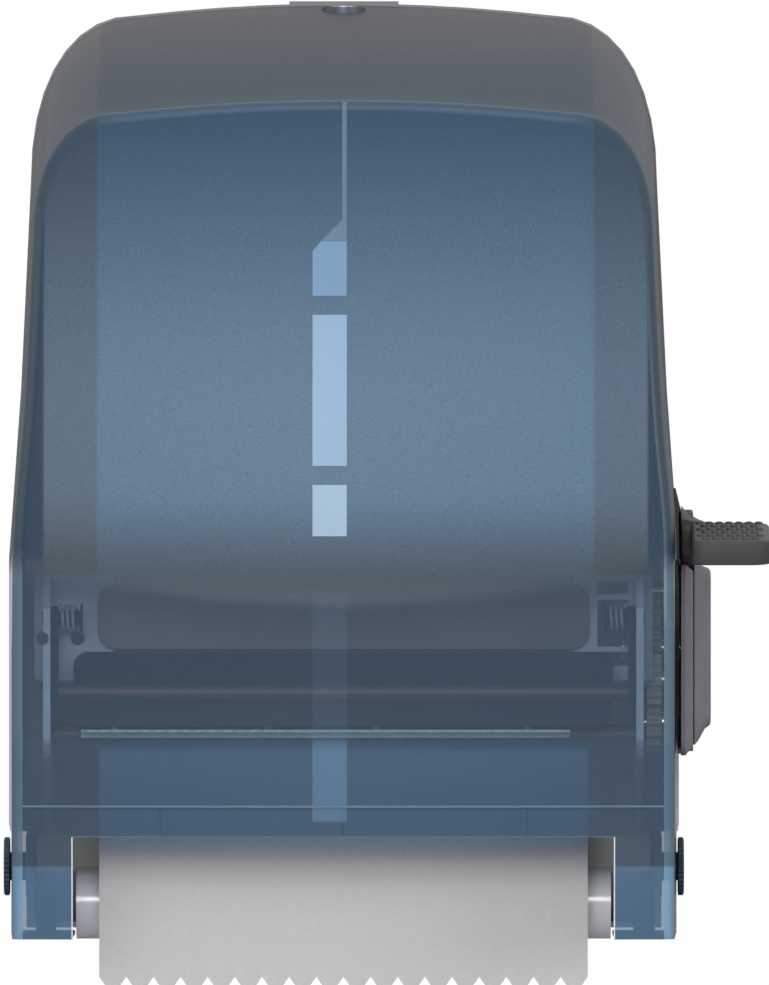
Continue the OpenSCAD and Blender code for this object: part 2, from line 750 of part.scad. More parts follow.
// Arm in the plane beside the casing: hub, curved web up to the paddle, and the skirt on its rib
module lever_arm() {
    lever_at = [0, lever_y, lever_z];
    color([0.2, 0.19, 0.2]) difference() {
        union() {
            xbar(lever_shaft_r + 8, arm_plane, arm_plane + arm_w, lever_y, lever_z);
            translate(lever_at) along_x(arm_plane, arm_plane + arm_w) polygon(arm_side);
            // hollow-curved gusset behind the paddle
            intersection() {
                translate(lever_at) along_x(arm_plane, arm_plane + gusset_w) polygon(arm_side);
                along_y(paddle_y1 + 1.3, paddle_y1 + 23) polygon(concat(
                    [for (k = [0:8]) [arm_plane + gusset_w * k / 8,
                                      mix(paddle_top_z + 13, paddle_top_z - 0.4, 1 - pow(1 - k / 8, 2.4))]],
                    [[arm_plane + gusset_w, paddle_top_z - 8.6], [arm_plane, paddle_top_z - 8.6]]));
            }
            // curved skirt that closes the slot in the housing
            translate(lever_at) along_x(arm_plane, arm_plane + arm_w) intersection() {
                difference() {
                    circle(skirt_r, $fn = 96);
                    circle(skirt_r - skirt_t, $fn = 96);
                }
                polygon([[0, 0], 90 * [cos(140), sin(140)], [-90, -10], 90 * [cos(226), sin(226)]]);
            }
            translate(lever_at) rotate([224, 0, 0])
                block([arm_plane, 0, -1.5], [arm_plane + arm_w, skirt_r - skirt_t / 2, 1.5]);
        }
        xbar(lever_shaft_r, arm_plane - 1, arm_plane + arm_w + 1, lever_y, lever_z);
    }
}

// Paddle plate seen from above, with rounded corners
module paddle_plan() {
    round_rect([paddle_x0, -paddle_len], [paddle_x1, 0], 9);
}

dot_r = 1.8;
dot_step_x = 4.1;
dot_step_y = 12.2;
module lever_paddle() {
    color([0.22, 0.21, 0.21]) difference() {
        translate([0, paddle_y1, paddle_top_z]) rotate([paddle_tilt, 0, 0]) {
            translate([0, 0, -paddle_t]) linear_extrude(paddle_t) paddle_plan();
            for (i = [0:6], j = [0:5]) let(x = paddle_x0 + 4.7 + (i + (j % 2) / 2) * dot_step_x)
                if (x < paddle_x1 - 3.6)
                    translate([x, -7 - j * dot_step_y, -0.4]) cylinder(r = dot_r, h = 1.3, $fn = 16);
        }
        block([arm_plane - 5, paddle_y1 + 10, paddle_top_z - 40],
              [arm_plane + arm_w, paddle_y1 - paddle_root, paddle_top_z + 20]);
    }
}

module lever_spring() {
    color("silver") {
        spring_x(lever_shaft_r + 2.2, 0.9, gear_x1 + 1.6, arm_plane - 1.6, 3, lever_y, lever_z, 0);
    }
}

// Outer block of the lever housing, g inside its outer faces
module housing_block(g) {
    hull() {
        along_x(housing_x0 - (g > 0 ? 1 : 0), housing_x0 + 1.5)
            round_rect([lever_y - 54 + g, lever_z - 44.5 + g], [y_rim - 1 - g, lever_z + 37 - g], 6);
        along_x(housing_x1 - 2 - g, housing_x1 - g)
            round_rect([lever_y - 36 + g, lever_z - 33 + g], [y_rim - 12 - g, lever_z + 28 - g], 5);
    }
}

// Room for the arm, from one direction round to another and from a radius outward
module arm_slot(r, from, to) {
    reach = 200;
    mid = (from + to) / 2;
    along_x(housing_x0 - 1, arm_plane + arm_w + 0.5) translate([lever_y, lever_z]) intersection() {
        difference() {
            circle(reach / 2);
            circle(r);
        }
        polygon([[0, 0], reach * [cos(from), sin(from)], reach * [cos(mid), sin(mid)],
                 reach * [cos(to), sin(to)]]);
    }
}

module lever_housing() {
    color([0.38, 0.38, 0.43]) difference() {
        union() {
            difference() {
                housing_block(0);
                housing_block(housing_t);
            }
            for (p = standoffs) xbar(screw_r + 2.6, frame_out, housing_x1 - housing_t + 0.5, p[0], p[1]);
        }
        // slot for the arm, from its raised to its pushed place
        arm_slot(skirt_r + 0.4, 97, 236);
        arm_slot(skirt_r - 5, 97, 140);
        for (p = standoffs) xbar(screw_r, frame_out - 5, frame_out + 14, p[0], p[1]);
    }
}

module housing_screws() {
    color("silver") for (p = standoffs) {
        xbar(screw_r, frame_x, frame_out + 12, p[0], p[1]);
        xbar(screw_r + 1.5, frame_x - 1.6, frame_x, p[0], p[1]);
    }
}

// ---- tear bar, rail and chute ---------------------------------------------
blade_x0 = -towel_half - 7.4;
blade_x1 = towel_half - 7.6;
blade_tabs = [blade_x0 + 14, -31.4, 13.5, blade_x1 - 17.2];
blade_low = blade_rod_z - 1.3;
blade_fold = blade_rod_z + 2.1;
blade_t = 1;
tab_h = 5.5;
blade_y = blade_rod_y - blade_rod_r;
module blade_rod() {
    color([0.5, 0.44, 0.43]) xbar(blade_rod_r, -frame_out, frame_out, blade_rod_y, blade_rod_z);
}

tooth_pitch = 5.6;
module tear_bar() {
    depth = 13;
    n = floor((blade_x1 - blade_x0) / tooth_pitch);
    step = (blade_x1 - blade_x0) / n;
    color([0.75, 0.8, 0.86]) {
        translate([0, blade_y - 0.9, blade_fold]) rotate([8, 0, 0]) translate([0, 0, -1.1])
            linear_extrude(1.1)
            polygon(concat([[blade_x0, 0], [blade_x0, -depth]],
                [for (i = [0:n - 1]) each [[blade_x0 + (i + 0.5) * step, -depth - 2.6],
                                           [blade_x0 + (i + 1) * step, -depth]]],
                [[blade_x1, 0]]));
        block([blade_x0, blade_y - blade_t, blade_low], [blade_x1, blade_y, blade_fold]);
        for (x = blade_tabs)
            block([x - 1.25, blade_y - blade_t, blade_low], [x + 1.25, blade_y, blade_fold + tab_h]);
    }
}

rail_top = rim_low_z - 0.5;
rail_low = rail_top - 15;
rail_y = sheet_y + 42.55;
rail_half = case_half_w - 12;
// Pale rail across the foot, carried by arms from the back plate
module lower_rail() {
    color([0.84, 0.84, 0.8]) {
        block([-rail_half, rail_y, rail_low], [rail_half, rail_y + 3, rail_top]);
        both_sides() block([rail_half - 3, rail_y, rail_low], [rail_half, -back_t, rail_top]);
    }
}

// Curved white apron that the towel slides over: a lip round the front, its foot running back
chute_half = exit_half_w - 0.6;
chute_t = 2.4;
lip_r = 15;
lip_y = rail_y - 10;
lip_z = z_bot + lip_r - 1;
foot_len = 30;
module lip_shape(r, reach) {
    circle(r);
    translate([0, -r]) square([reach, 2 * r]);
}

module chute() {
    color([0.9, 0.9, 0.94]) along_x(-chute_half, chute_half) translate([lip_y, lip_z]) difference() {
        lip_shape(lip_r, foot_len);
        lip_shape(lip_r - chute_t, foot_len + 5);
        translate([rail_y - lip_y, 0]) square(foot_len);
    }
}

// ---- roll, arms and towel -------------------------------------------------
arm_x = towel_half + 8;
arm_t = 3.4;
arm_pin_y = -14;
arm_pin_r = 2.5;
lug_gap = 24;
hub_len = 11;
hub_tip = core_r - 3.2;

module roll_core() {
    color([0.62, 0.5, 0.36]) difference() {
        xbar(core_r + core_t, -towel_half, towel_half, roll_y, roll_z);
        xbar(core_r, -towel_half - 1, towel_half + 1, roll_y, roll_z);
    }
}

module towel_roll() {
    color([0.92, 0.92, 0.9]) difference() {
        xbar(roll_r, -towel_half, towel_half, roll_y, roll_z, $fn = 96);
        xbar(core_r + core_t, -towel_half - 1, towel_half + 1, roll_y, roll_z);
    }
}

module arm_right_shape() {
    x0 = towel_half + 2;
    difference() {
        union() {
            along_x(x0, x0 + arm_t) {
                translate([roll_y, roll_z]) circle(24);
                polygon([[roll_y, roll_z - 22], [roll_y, roll_z + 22], [arm_pin_y, roll_z + lug_gap - 0.4],
                         [arm_pin_y, roll_z - lug_gap + 0.4]]);
            }
            translate([arm_x, arm_pin_y, roll_z - lug_gap + 0.4]) cylinder(r = 5, h = 2 * lug_gap - 0.8);
            block([x0, arm_pin_y - 6, roll_z - lug_gap + 0.4],
                  [arm_x, arm_pin_y - 1, roll_z + lug_gap - 0.4]);
        }
        translate([arm_x, arm_pin_y, roll_z - lug_gap - 5])
            cylinder(r = arm_pin_r + fit, h = 2 * lug_gap + 10);
    }
}

module roll_arm_left() {
    color([0.3, 0.36, 0.44]) mirror([1, 0, 0]) arm_right_shape();
}

module roll_arm_right() {
    color([0.3, 0.36, 0.44]) arm_right_shape();
}

module arm_pins() {
    color("silver") both_sides() translate([arm_x, arm_pin_y, roll_z - lug_gap - 3])
        cylinder(r = arm_pin_r, h = 2 * lug_gap + 6);
}

module hub_shape() {
    translate([towel_half + 2, roll_y, roll_z]) rotate([0, -90, 0]) {
        cylinder(r = core_r + core_t + 2, h = 1.6);
        cylinder(r1 = core_r - gap - 0.1, r2 = hub_tip, h = hub_len + 2);
    }
}

module core_hub_left() {
    color([0.2, 0.22, 0.25]) mirror([1, 0, 0]) hub_shape();
}

module core_hub_right() {
    color([0.2, 0.22, 0.25]) hub_shape();
}

// Path of the towel, seen from the side: off the roll's back, round to the nip, and down
bend_r = 12;
bend_z = feed_z + 20;
path_in = [sheet_y, bend_z + 4];
to_roll = [roll_y - path_in[0], roll_z - path_in[1]];
pull_dir = atan2(to_roll[1], to_roll[0]) - asin((roll_r + gap + towel_t / 2) / norm(to_roll));
pull_len = sqrt(pow(norm(to_roll), 2) - pow(roll_r + gap + towel_t / 2, 2));
bend_len = bend_r * tan((90 - pull_dir) / 2);
bend_c = [sheet_y + bend_r, path_in[1] - bend_len];
function bend_at(r, a) = [bend_c[0] - r * cos(a), bend_c[1] + r * sin(a)];
sheet_low = z_bot - towel_drop;

module towel_sheet() {
    h = towel_t / 2;
    n = 6;
    far = path_in + pull_len * [cos(pull_dir), sin(pull_dir)];
    nrm = [-sin(pull_dir), cos(pull_dir)];
    pitch = 11.3;
    count = floor(towel_w / pitch);
    step = towel_w / count;
    color([0.93, 0.93, 0.92]) intersection() {
        along_x(-towel_half, towel_half)
            polygon(concat(
                [[sheet_y - h, sheet_low - 1]],
                [for (i = [0:n]) bend_at(bend_r + h, (90 - pull_dir) * i / n)],
                [far + nrm * h, far - nrm * h],
                [for (i = [n:-1:0]) bend_at(bend_r - h, (90 - pull_dir) * i / n)],
                [[sheet_y + h, sheet_low - 1]]));
        along_y(-300, 10) polygon(concat(
            [[-towel_half, roll_z + roll_r], [-towel_half, sheet_low]],
            [for (i = [0:count - 1]) each [[-towel_half + (i + 0.5) * step, sheet_low + 4.2],
                                           [-towel_half + (i + 1) * step, sheet_low]]],
            [[towel_half, roll_z + roll_r]]));
    }
}

rear_case();
cover();
hinge_pins();
lock_sleeve();
lock_barrel();
lock_cam();
side_frame_left();
side_frame_right();
guide_panel();
guide_screws();
feed_shaft();
feed_core();
feed_rollers();
feed_bushes();
feed_gear();
clutch_hub();
idler_gear();
idler_pin();
lever_gear();
lever_shaft();
lever_arm();
lever_paddle();
lever_spring();
lever_housing();
housing_screws();
frame_screws();
pinch_roller();
pinch_shaft();
pinch_carrier();
carrier_rod();
carrier_links();
pinch_springs();
blade_rod();
tear_bar();
lower_rail();
chute();
roll_core();
towel_roll();
roll_arm_left();
roll_arm_right();
arm_pins();
core_hub_left();
core_hub_right();
towel_sheet();
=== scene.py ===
import bpy
import bmesh
from math import asin, atan2, cos, hypot, pi, radians, sin, sqrt, tan
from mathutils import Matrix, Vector


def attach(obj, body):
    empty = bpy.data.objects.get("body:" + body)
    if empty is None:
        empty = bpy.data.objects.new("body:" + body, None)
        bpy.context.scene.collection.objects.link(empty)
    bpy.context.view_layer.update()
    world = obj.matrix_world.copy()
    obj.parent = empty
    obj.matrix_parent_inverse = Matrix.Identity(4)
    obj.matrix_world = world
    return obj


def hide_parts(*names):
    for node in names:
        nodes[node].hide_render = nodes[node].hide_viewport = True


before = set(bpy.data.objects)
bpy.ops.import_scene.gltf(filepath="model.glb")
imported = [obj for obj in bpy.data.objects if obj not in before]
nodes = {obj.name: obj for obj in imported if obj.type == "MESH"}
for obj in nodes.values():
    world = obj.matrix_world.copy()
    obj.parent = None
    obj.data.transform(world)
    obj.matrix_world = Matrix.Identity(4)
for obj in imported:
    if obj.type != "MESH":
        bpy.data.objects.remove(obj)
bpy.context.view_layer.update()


# Studio. A pale floor stands well below the dispenser, which hangs on a wall in use. Soft lamps light it
# from the front, the sides and above. The camera looks straight on from far off, as for a catalogue page.
scene = bpy.context.scene
scene.view_settings.view_transform = "Standard"

world = bpy.data.worlds.new("studio_air")
scene.world = world
world.use_nodes = True
air = world.node_tree
air.nodes.clear()
air_out = air.nodes.new("ShaderNodeOutputWorld")
air_light = air.nodes.new("ShaderNodeBackground")
air_light.inputs["Color"].default_value = (1.0, 1.0, 1.0, 1.0)
rays = air.nodes.new("ShaderNodeLightPath")
seen = air.nodes.new("ShaderNodeMath")
seen.operation = "MAXIMUM"
seen_too = air.nodes.new("ShaderNodeMath")
seen_too.operation = "MAXIMUM"
level = air.nodes.new("ShaderNodeMapRange")
level.inputs["To Min"].default_value = 0.34
level.inputs["To Max"].default_value = 1.0
air.links.new(rays.outputs["Is Camera Ray"], seen.inputs[0])
air.links.new(rays.outputs["Is Glossy Ray"], seen.inputs[1])
air.links.new(seen.outputs[0], seen_too.inputs[0])
air.links.new(rays.outputs["Is Transmission Ray"], seen_too.inputs[1])
air.links.new(seen_too.outputs[0], level.inputs["Value"])
air.links.new(level.outputs["Result"], air_light.inputs["Strength"])
air.links.new(air_light.outputs[0], air_out.inputs["Surface"])


def soft_lamp(name, place, aim, size, watts):
    lamp = bpy.data.lights.new(name, "AREA")
    lamp.shape = "RECTANGLE"
    lamp.size, lamp.size_y = size
    lamp.energy = watts
    ob = bpy.data.objects.new(name, lamp)
    scene.collection.objects.link(ob)
    ob.location = place
    ob.rotation_euler = (Vector(aim) - Vector(place)).to_track_quat("-Z", "Y").to_euler()


lamp_aim = (0.0, -0.1, 0.0)
soft_lamp("key_lamp", (-0.8, -2.6, 0.48), lamp_aim, (1.5, 0.9), 17)
soft_lamp("fill_lamp", (2.3, -1.7, 0.35), lamp_aim, (1.2, 1.0), 21)
soft_lamp("side_lamp", (-2.5, -0.6, 0.5), lamp_aim, (1.2, 1.0), 6)
soft_lamp("top_lamp", (0.0, -0.5, 2.2), lamp_aim, (1.4, 1.0), 13)
soft_lamp("front_lamp", (0.0, -2.9, 0.46), lamp_aim, (1.0, 0.6), 27)

floor_mesh = bpy.data.meshes.new("floor")
floor_z, floor_half = -0.3, 40
floor_corners = [(x * floor_half, y * floor_half, floor_z) for x, y in ((-1, -1), (1, -1), (1, 1), (-1, 1))]
floor_mesh.from_pydata(floor_corners, [], [(0, 1, 2, 3)])
floor = bpy.data.objects.new("floor", floor_mesh)
scene.collection.objects.link(floor)
floor_paint = bpy.data.materials.new("floor_paint")
floor_paint.use_nodes = True
floor_tree = floor_paint.node_tree
floor_shader = floor_tree.nodes["Principled BSDF"]
floor_shader.inputs["Roughness"].default_value = 0.8
floor_rays = floor_tree.nodes.new("ShaderNodeLightPath")
floor_tone = floor_tree.nodes.new("ShaderNodeMix")
floor_tone.data_type = "RGBA"
floor_tone.inputs[6].default_value = (0.30, 0.30, 0.305, 1)
floor_tone.inputs[7].default_value = (0.86, 0.86, 0.87, 1)
floor_tree.links.new(floor_rays.outputs["Is Camera Ray"], floor_tone.inputs[0])
floor_tree.links.new(floor_tone.outputs[2], floor_shader.inputs["Base Color"])
# away from the dispenser the floor runs out into the white of the studio
floor_place = floor_tree.nodes.new("ShaderNodeTexCoord")
floor_reach = floor_tree.nodes.new("ShaderNodeVectorMath")
floor_reach.operation = "LENGTH"
floor_tree.links.new(floor_place.outputs["Object"], floor_reach.inputs[0])
floor_far = floor_tree.nodes.new("ShaderNodeMapRange")
floor_far.interpolation_type = "SMOOTHSTEP"
floor_far.inputs["From Min"].default_value = 0.3
floor_far.inputs["From Max"].default_value = 1.8
floor_far.inputs["To Min"].default_value = 0.25
floor_tree.links.new(floor_reach.outputs["Value"], floor_far.inputs["Value"])
floor_white = floor_tree.nodes.new("ShaderNodeMath")
floor_white.operation = "MULTIPLY"
floor_tree.links.new(floor_far.outputs["Result"], floor_white.inputs[0])
floor_tree.links.new(floor_rays.outputs["Is Camera Ray"], floor_white.inputs[1])
floor_glow = floor_tree.nodes.new("ShaderNodeEmission")
floor_mix = floor_tree.nodes.new("ShaderNodeMixShader")
floor_tree.links.new(floor_white.outputs[0], floor_mix.inputs[0])
floor_tree.links.new(floor_shader.outputs[0], floor_mix.inputs[1])
floor_tree.links.new(floor_glow.outputs[0], floor_mix.inputs[2])
floor_tree.links.new(floor_mix.outputs[0], floor_tree.nodes["Material Output"].inputs["Surface"])
floor_mesh.materials.append(floor_paint)

camera_data = bpy.data.cameras.new("front_camera")
camera_data.sensor_fit = "HORIZONTAL"
camera_data.sensor_width = 36.0
camera_data.lens = 1250.0
view_width, view_x, view_z = 0.3202, 0.01707, -0.0099
camera_data.clip_start = 0.1
camera_data.clip_end = 60.0
camera = bpy.data.objects.new("front_camera", camera_data)
scene.collection.objects.link(camera)
camera.location = (view_x, -0.15 - view_width * camera_data.lens / camera_data.sensor_width, view_z)
camera.rotation_euler = (pi / 2, 0, 0)
scene.camera = camera


# Rear case. One pale moulding: the plate that is screwed to the wall, its rim, the ears of the hinge and
# the lugs of the roll arms. The plastic is satin, with the faint cloud and fine grain of a cheap mould.
def new_finish(name):
    finish = bpy.data.materials.new(name)
    finish.use_nodes = True
    tree = finish.node_tree
    shader = tree.nodes["Principled BSDF"]
    where = tree.nodes.new("ShaderNodeTexCoord")
    return finish, tree, shader, where.outputs["Object"]


def cloud(tree, where, scale, detail, stretch=(1, 1, 1)):
    squeeze = tree.nodes.new("ShaderNodeMapping")
    squeeze.inputs["Scale"].default_value = stretch
    noise = tree.nodes.new("ShaderNodeTexNoise")
    noise.inputs["Scale"].default_value = scale
    noise.inputs["Detail"].default_value = detail
    tree.links.new(where, squeeze.inputs["Vector"])
    tree.links.new(squeeze.outputs[0], noise.inputs["Vector"])
    return noise.outputs["Fac"]


def tinted(tree, amount, low, high):
    ramp = tree.nodes.new("ShaderNodeMix")
    ramp.data_type = "RGBA"
    ramp.inputs[6].default_value = (*low, 1)
    ramp.inputs[7].default_value = (*high, 1)
    tree.links.new(amount, ramp.inputs[0])
    return ramp.outputs[2]


def spread(tree, value, low, high):
    band = tree.nodes.new("ShaderNodeMapRange")
    band.inputs["From Min"].default_value = 0.3
    band.inputs["From Max"].default_value = 0.7
    band.inputs["To Min"].default_value = low
    band.inputs["To Max"].default_value = high
    tree.links.new(value, band.inputs["Value"])
    return band.outputs["Result"]


def relief(tree, shader, height, strength, distance):
    bump = tree.nodes.new("ShaderNodeBump")
    bump.inputs["Strength"].default_value = strength
    bump.inputs["Distance"].default_value = distance
    tree.links.new(height, bump.inputs["Height"])
    tree.links.new(bump.outputs[0], shader.inputs["Normal"])


def moulded(name, colour, rough, grain=1400, grain_height=0.00004, shade=0.12, gloss=0.4):
    finish, tree, shader, where = new_finish(name)
    low = [c * (1 - shade) for c in colour]
    high = [min(1, c * (1 + shade)) for c in colour]
    soft = cloud(tree, where, 22, 4)
    tree.links.new(tinted(tree, spread(tree, soft, 0, 1), low, high), shader.inputs["Base Color"])
    fine = cloud(tree, where, grain, 2)
    tree.links.new(spread(tree, fine, rough - 0.05, rough + 0.06), shader.inputs["Roughness"])
    relief(tree, shader, fine, 0.5, grain_height)
    shader.inputs["Specular IOR Level"].default_value = gloss
    return finish


def wear(node, finish):
    nodes[node].material_slots[0].material = finish


def over_place(finish):
    # the tree of a finish, its shader, and the place on the piece as x, y and z
    tree = finish.node_tree
    place = tree.nodes.new("ShaderNodeSeparateXYZ")
    where = next(node for node in tree.nodes if node.type == "TEX_COORD")
    tree.links.new(where.outputs["Object"], place.inputs[0])
    return tree, tree.nodes["Principled BSDF"], place


rear_plastic = moulded("rear_case_plastic", (0.60, 0.62, 0.74), rough=0.42, shade=0.04)
# the upper rim is painted grey, like the shoulder of the cover that closes onto it: a painted grazing
# reflection, not the plastic's own colour
tree, shader, place = over_place(rear_plastic)
zones = []
for axis, low, high in (("Z", -0.045, -0.037), ("Y", -0.004, -0.006)):
    zone = tree.nodes.new("ShaderNodeMapRange")
    zone.inputs["From Min"].default_value = low
    zone.inputs["From Max"].default_value = high
    tree.links.new(place.outputs[axis], zone.inputs["Value"])
    zones.append(zone.outputs["Result"])
rim_reflection_mask = tree.nodes.new("ShaderNodeMath")
rim_reflection_mask.operation = "MULTIPLY"
for i, zone in enumerate(zones):
    tree.links.new(zone, rim_reflection_mask.inputs[i])
rim_reflection_paint = tree.nodes.new("ShaderNodeMix")
rim_reflection_paint.data_type = "RGBA"
rim_reflection_paint.inputs[7].default_value = (0.135, 0.132, 0.135, 1)
tree.links.new(rim_reflection_mask.outputs[0], rim_reflection_paint.inputs[0])
tree.links.new(shader.inputs["Base Color"].links[0].from_socket, rim_reflection_paint.inputs[6])
tree.links.new(rim_reflection_paint.outputs[2], shader.inputs["Base Color"])
wear("rear_case", rear_plastic)


# Hinge pins. Two dark knobs with a fine toothed rim are pushed through the cover's cheeks into the ears of
# the rear case, and the cover turns on them.
def piece(name, verts, faces, body, finishes, smooth_angle):
    mesh = bpy.data.meshes.new(name)
    mesh.from_pydata([(x * 0.001, y * 0.001, z * 0.001) for x, y, z in verts], [], faces)
    mesh.validate()
    work = bmesh.new()
    work.from_mesh(mesh)
    bmesh.ops.recalc_face_normals(work, faces=work.faces)
    work.to_mesh(mesh)
    work.free()
    for finish in finishes:
        mesh.materials.append(finish)
    ob = bpy.data.objects.new(name, mesh)
    scene.collection.objects.link(ob)
    for polygon in mesh.polygons:
        polygon.use_smooth = True
    mesh.set_sharp_from_angle(angle=radians(smooth_angle))
    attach(ob, body)
    return ob


def lathe(profile, centre, turns, axis="X", wave=None, closed=False):
    verts = []
    for i in range(turns):
        a = 2 * pi * i / turns
        for along, r in profile:
            q = r + (wave(a, r) if wave else 0)
            if axis == "X":
                verts.append((centre[0] + along, centre[1] + q * cos(a), centre[2] + q * sin(a)))
            else:
                verts.append((centre[0] + q * cos(a), centre[1] + q * sin(a), centre[2] + along))
    n = len(profile)
    faces = [(i * n + j, i * n + j + 1, (i + 1) % turns * n + j + 1, (i + 1) % turns * n + j)
             for i in range(turns) for j in range(n - 1)]
    if closed:
        faces += [(i * n + n - 1, i * n, (i + 1) % turns * n, (i + 1) % turns * n + n - 1)
                  for i in range(turns)]
    else:
        faces.append([i * n for i in range(turns)])
        faces.append([i * n + n - 1 for i in range(turns)])
    return verts, faces


def between(a, b, t):
    return a + (b - a) * t


knob_plastic = moulded("knob_plastic", (0.030, 0.050, 0.085), rough=0.45, gloss=0.25)
knob_x, hinge_y, hinge_z = 140.3, -42, -167
for side in (-1, 1):
    profile = [(-15, 5.95), (0, 5.95), (0.0, 11.4), (0.35, 11.95), (2.1, 11.95), (2.6, 11.3),
               (2.6, 9.2), (2.1, 8.7), (2.1, 4.5), (2.6, 4.0), (2.6, 0.01)]
    verts, faces = lathe([(side * a, r) for a, r in profile], (side * knob_x, hinge_y, hinge_z), turns=144,
                         wave=lambda a, r: 0.28 * cos(36 * a) if r > 11.8 else 0)
    knob = piece("hinge_knob_" + ("left" if side < 0 else "right"), verts, faces, "base", [knob_plastic], 30)
    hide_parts("hinge_pins")


# Side frames and towel guide. The blue frames carry the rollers and the lever's gears, and a dark plate
# between them guides the towel into the nip.
frame_plastic = moulded("frame_plastic", (0.33, 0.48, 0.70), rough=0.38, grain=500, gloss=0.5)
wear("side_frame_left", frame_plastic)
wear("side_frame_right", frame_plastic)
guide_plastic = moulded("guide_plastic", (0.205, 0.215, 0.245), rough=0.6, grain=500, gloss=0.15)
wear("guide_panel", guide_plastic)
wear("guide_screws", guide_plastic)


# Steel parts. Shafts, pins and screws are bright drawn bar with fine lines along their length. The springs
# are of wire with a blue coat.
def drawn_steel(name, colour, rough=0.24, stretch=(0.04, 1, 1)):
    finish, tree, shader, where = new_finish(name)
    lines = cloud(tree, where, 2600, 3, stretch)
    tree.links.new(tinted(tree, spread(tree, lines, 0, 1), [c * 0.86 for c in colour], colour),
                   shader.inputs["Base Color"])
    tree.links.new(spread(tree, lines, rough - 0.06, rough + 0.08), shader.inputs["Roughness"])
    shader.inputs["Metallic"].default_value = 1.0
    relief(tree, shader, lines, 0.25, 0.00002)
    return finish


shaft_steel = drawn_steel("shaft_steel", (0.60, 0.61, 0.63))
for name in ("feed_shaft", "pinch_shaft", "lever_shaft", "idler_pin", "clutch_hub"):
    wear(name, shaft_steel)
screw_steel = drawn_steel("screw_steel", (0.62, 0.62, 0.60), 0.3, (1, 1, 1))
for name in ("housing_screws", "frame_screws", "arm_pins"):
    wear(name, screw_steel)
spring_steel = drawn_steel("spring_steel", (0.27, 0.38, 0.54), 0.45, (1, 1, 1))
spring_steel.node_tree.nodes["Principled BSDF"].inputs["Metallic"].default_value = 0.0
for name in ("lever_spring", "pinch_springs"):
    wear(name, spring_steel)


# Feed roller. A dark core on the steel shaft holds five rubber rings that pull the towel down, and the
# sprung pinch roller presses the towel onto them.
wear("feed_core", moulded("roller_core_plastic", (0.035, 0.036, 0.042), rough=0.5))
ring_rubber, tree, shader, where = new_finish("ring_rubber")
dust = cloud(tree, where, 260, 5)
tree.links.new(tinted(tree, spread(tree, dust, 0, 1), (0.018, 0.018, 0.020), (0.040, 0.040, 0.043)),
               shader.inputs["Base Color"])
shader.inputs["Roughness"].default_value = 0.82
relief(tree, shader, dust, 0.6, 0.0002)
wear("feed_rollers", ring_rubber)
wear("pinch_roller", ring_rubber)
wear("feed_bushes", moulded("bush_acetal", (0.62, 0.58, 0.48), rough=0.35))


# Gears. The lever's sector, the idler and the gear on the feed shaft are moulded in natural acetal and run
# between the right side frame and the lever housing.
gear_acetal = moulded("gear_acetal", (0.70, 0.67, 0.58), rough=0.36, shade=0.06)
for name in ("lever_gear", "idler_gear", "feed_gear"):
    wear(name, gear_acetal)


# Pinch carrier. A dark plate hangs on two links from the side frames, on a dull bronze-grey rod. The rod
# below it, which carries the tear bar, has the same finish.
carrier_plastic = moulded("carrier_plastic", (0.020, 0.032, 0.052), rough=0.7, grain=500,
                          grain_height=0.00001, gloss=0.1)
wear("pinch_carrier", carrier_plastic)
wear("carrier_links", carrier_plastic)
dull_rod = drawn_steel("dull_rod", (0.082, 0.070, 0.075), 0.5)
dull_rod.node_tree.nodes["Principled BSDF"].inputs["Metallic"].default_value = 0.35
wear("carrier_rod", dull_rod)
wear("blade_rod", dull_rod)


# Tear bar. A bright toothed strip with four bent tabs is clamped to the blade rod in front of the towel. Its
# brightness is a painted glint in its pale blue-white colour. It is folded from zinc-coated sheet, and the
# towel tears on the points of its ledge.
zinc_glint_paint = drawn_steel("zinc_glint_paint", (0.66, 0.94, 1.0), 0.4)
zinc_glint_paint.node_tree.nodes["Principled BSDF"].inputs["Metallic"].default_value = 0.0
blade_y, blade_low, blade_fold = -173.45, -111.8, -108.4
blade_left, blade_right, blade_teeth = -109.0, 94.0, 36


def gather(shapes):
    verts, faces = [], []
    for more_verts, more_faces in shapes:
        start = len(verts)
        verts += more_verts
        faces += [[i + start for i in face] for face in more_faces]
    return verts, faces


def prism_faces(n):
    # faces between two like outlines of n points, and the two ends
    ends = [list(range(n)), list(range(2 * n - 1, n - 1, -1))]
    return ends + [(i, (i + 1) % n, (i + 1) % n + n, i + n) for i in range(n)]


def upright_box(x0, x1, y0, y1, z0, z1):
    verts = [(x, y, z) for x in (x0, x1) for y in (y0, y1) for z in (z0, z1)]
    return verts, [(0, 1, 3, 2), (4, 6, 7, 5), (0, 4, 5, 1), (2, 3, 7, 6), (0, 2, 6, 4), (1, 5, 7, 3)]


ledge = [(blade_left, blade_y - 0.9), (blade_left, blade_y - 13.9)]
for i in range(blade_teeth):
    for part, reach in ((0.5, 16.3), (1, 13.9)):
        ledge.append((between(blade_left, blade_right, (i + part) / blade_teeth), blade_y - reach))
ledge.append((blade_right, blade_y - 0.9))
shapes = [([(x, y, blade_fold) for x, y in ledge] + [(x, y, blade_fold - 0.9) for x, y in ledge],
           prism_faces(len(ledge))),
          upright_box(blade_left, blade_right, blade_y - 1, blade_y, blade_low, blade_fold)]
for x in (blade_left + 14, -31.4, 13.5, blade_right - 17.2):
    shapes.append(upright_box(x - 1.25, x + 1.25, blade_y - 1, blade_y, blade_fold - 0.01, blade_fold + 5.5))
blade = piece("tear_strip", *gather(shapes), "base", [zinc_glint_paint], 20)
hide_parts("tear_bar")


# Foot. A pale rail on two arms spans the foot of the case and carries the white apron that the towel
# slides over.
wear("lower_rail", moulded("rail_plastic", (0.72, 0.72, 0.66), rough=0.4, shade=0.05))
wear("chute", moulded("apron_plastic", (0.90, 0.91, 0.99), rough=0.18, shade=0.03, gloss=0.6))


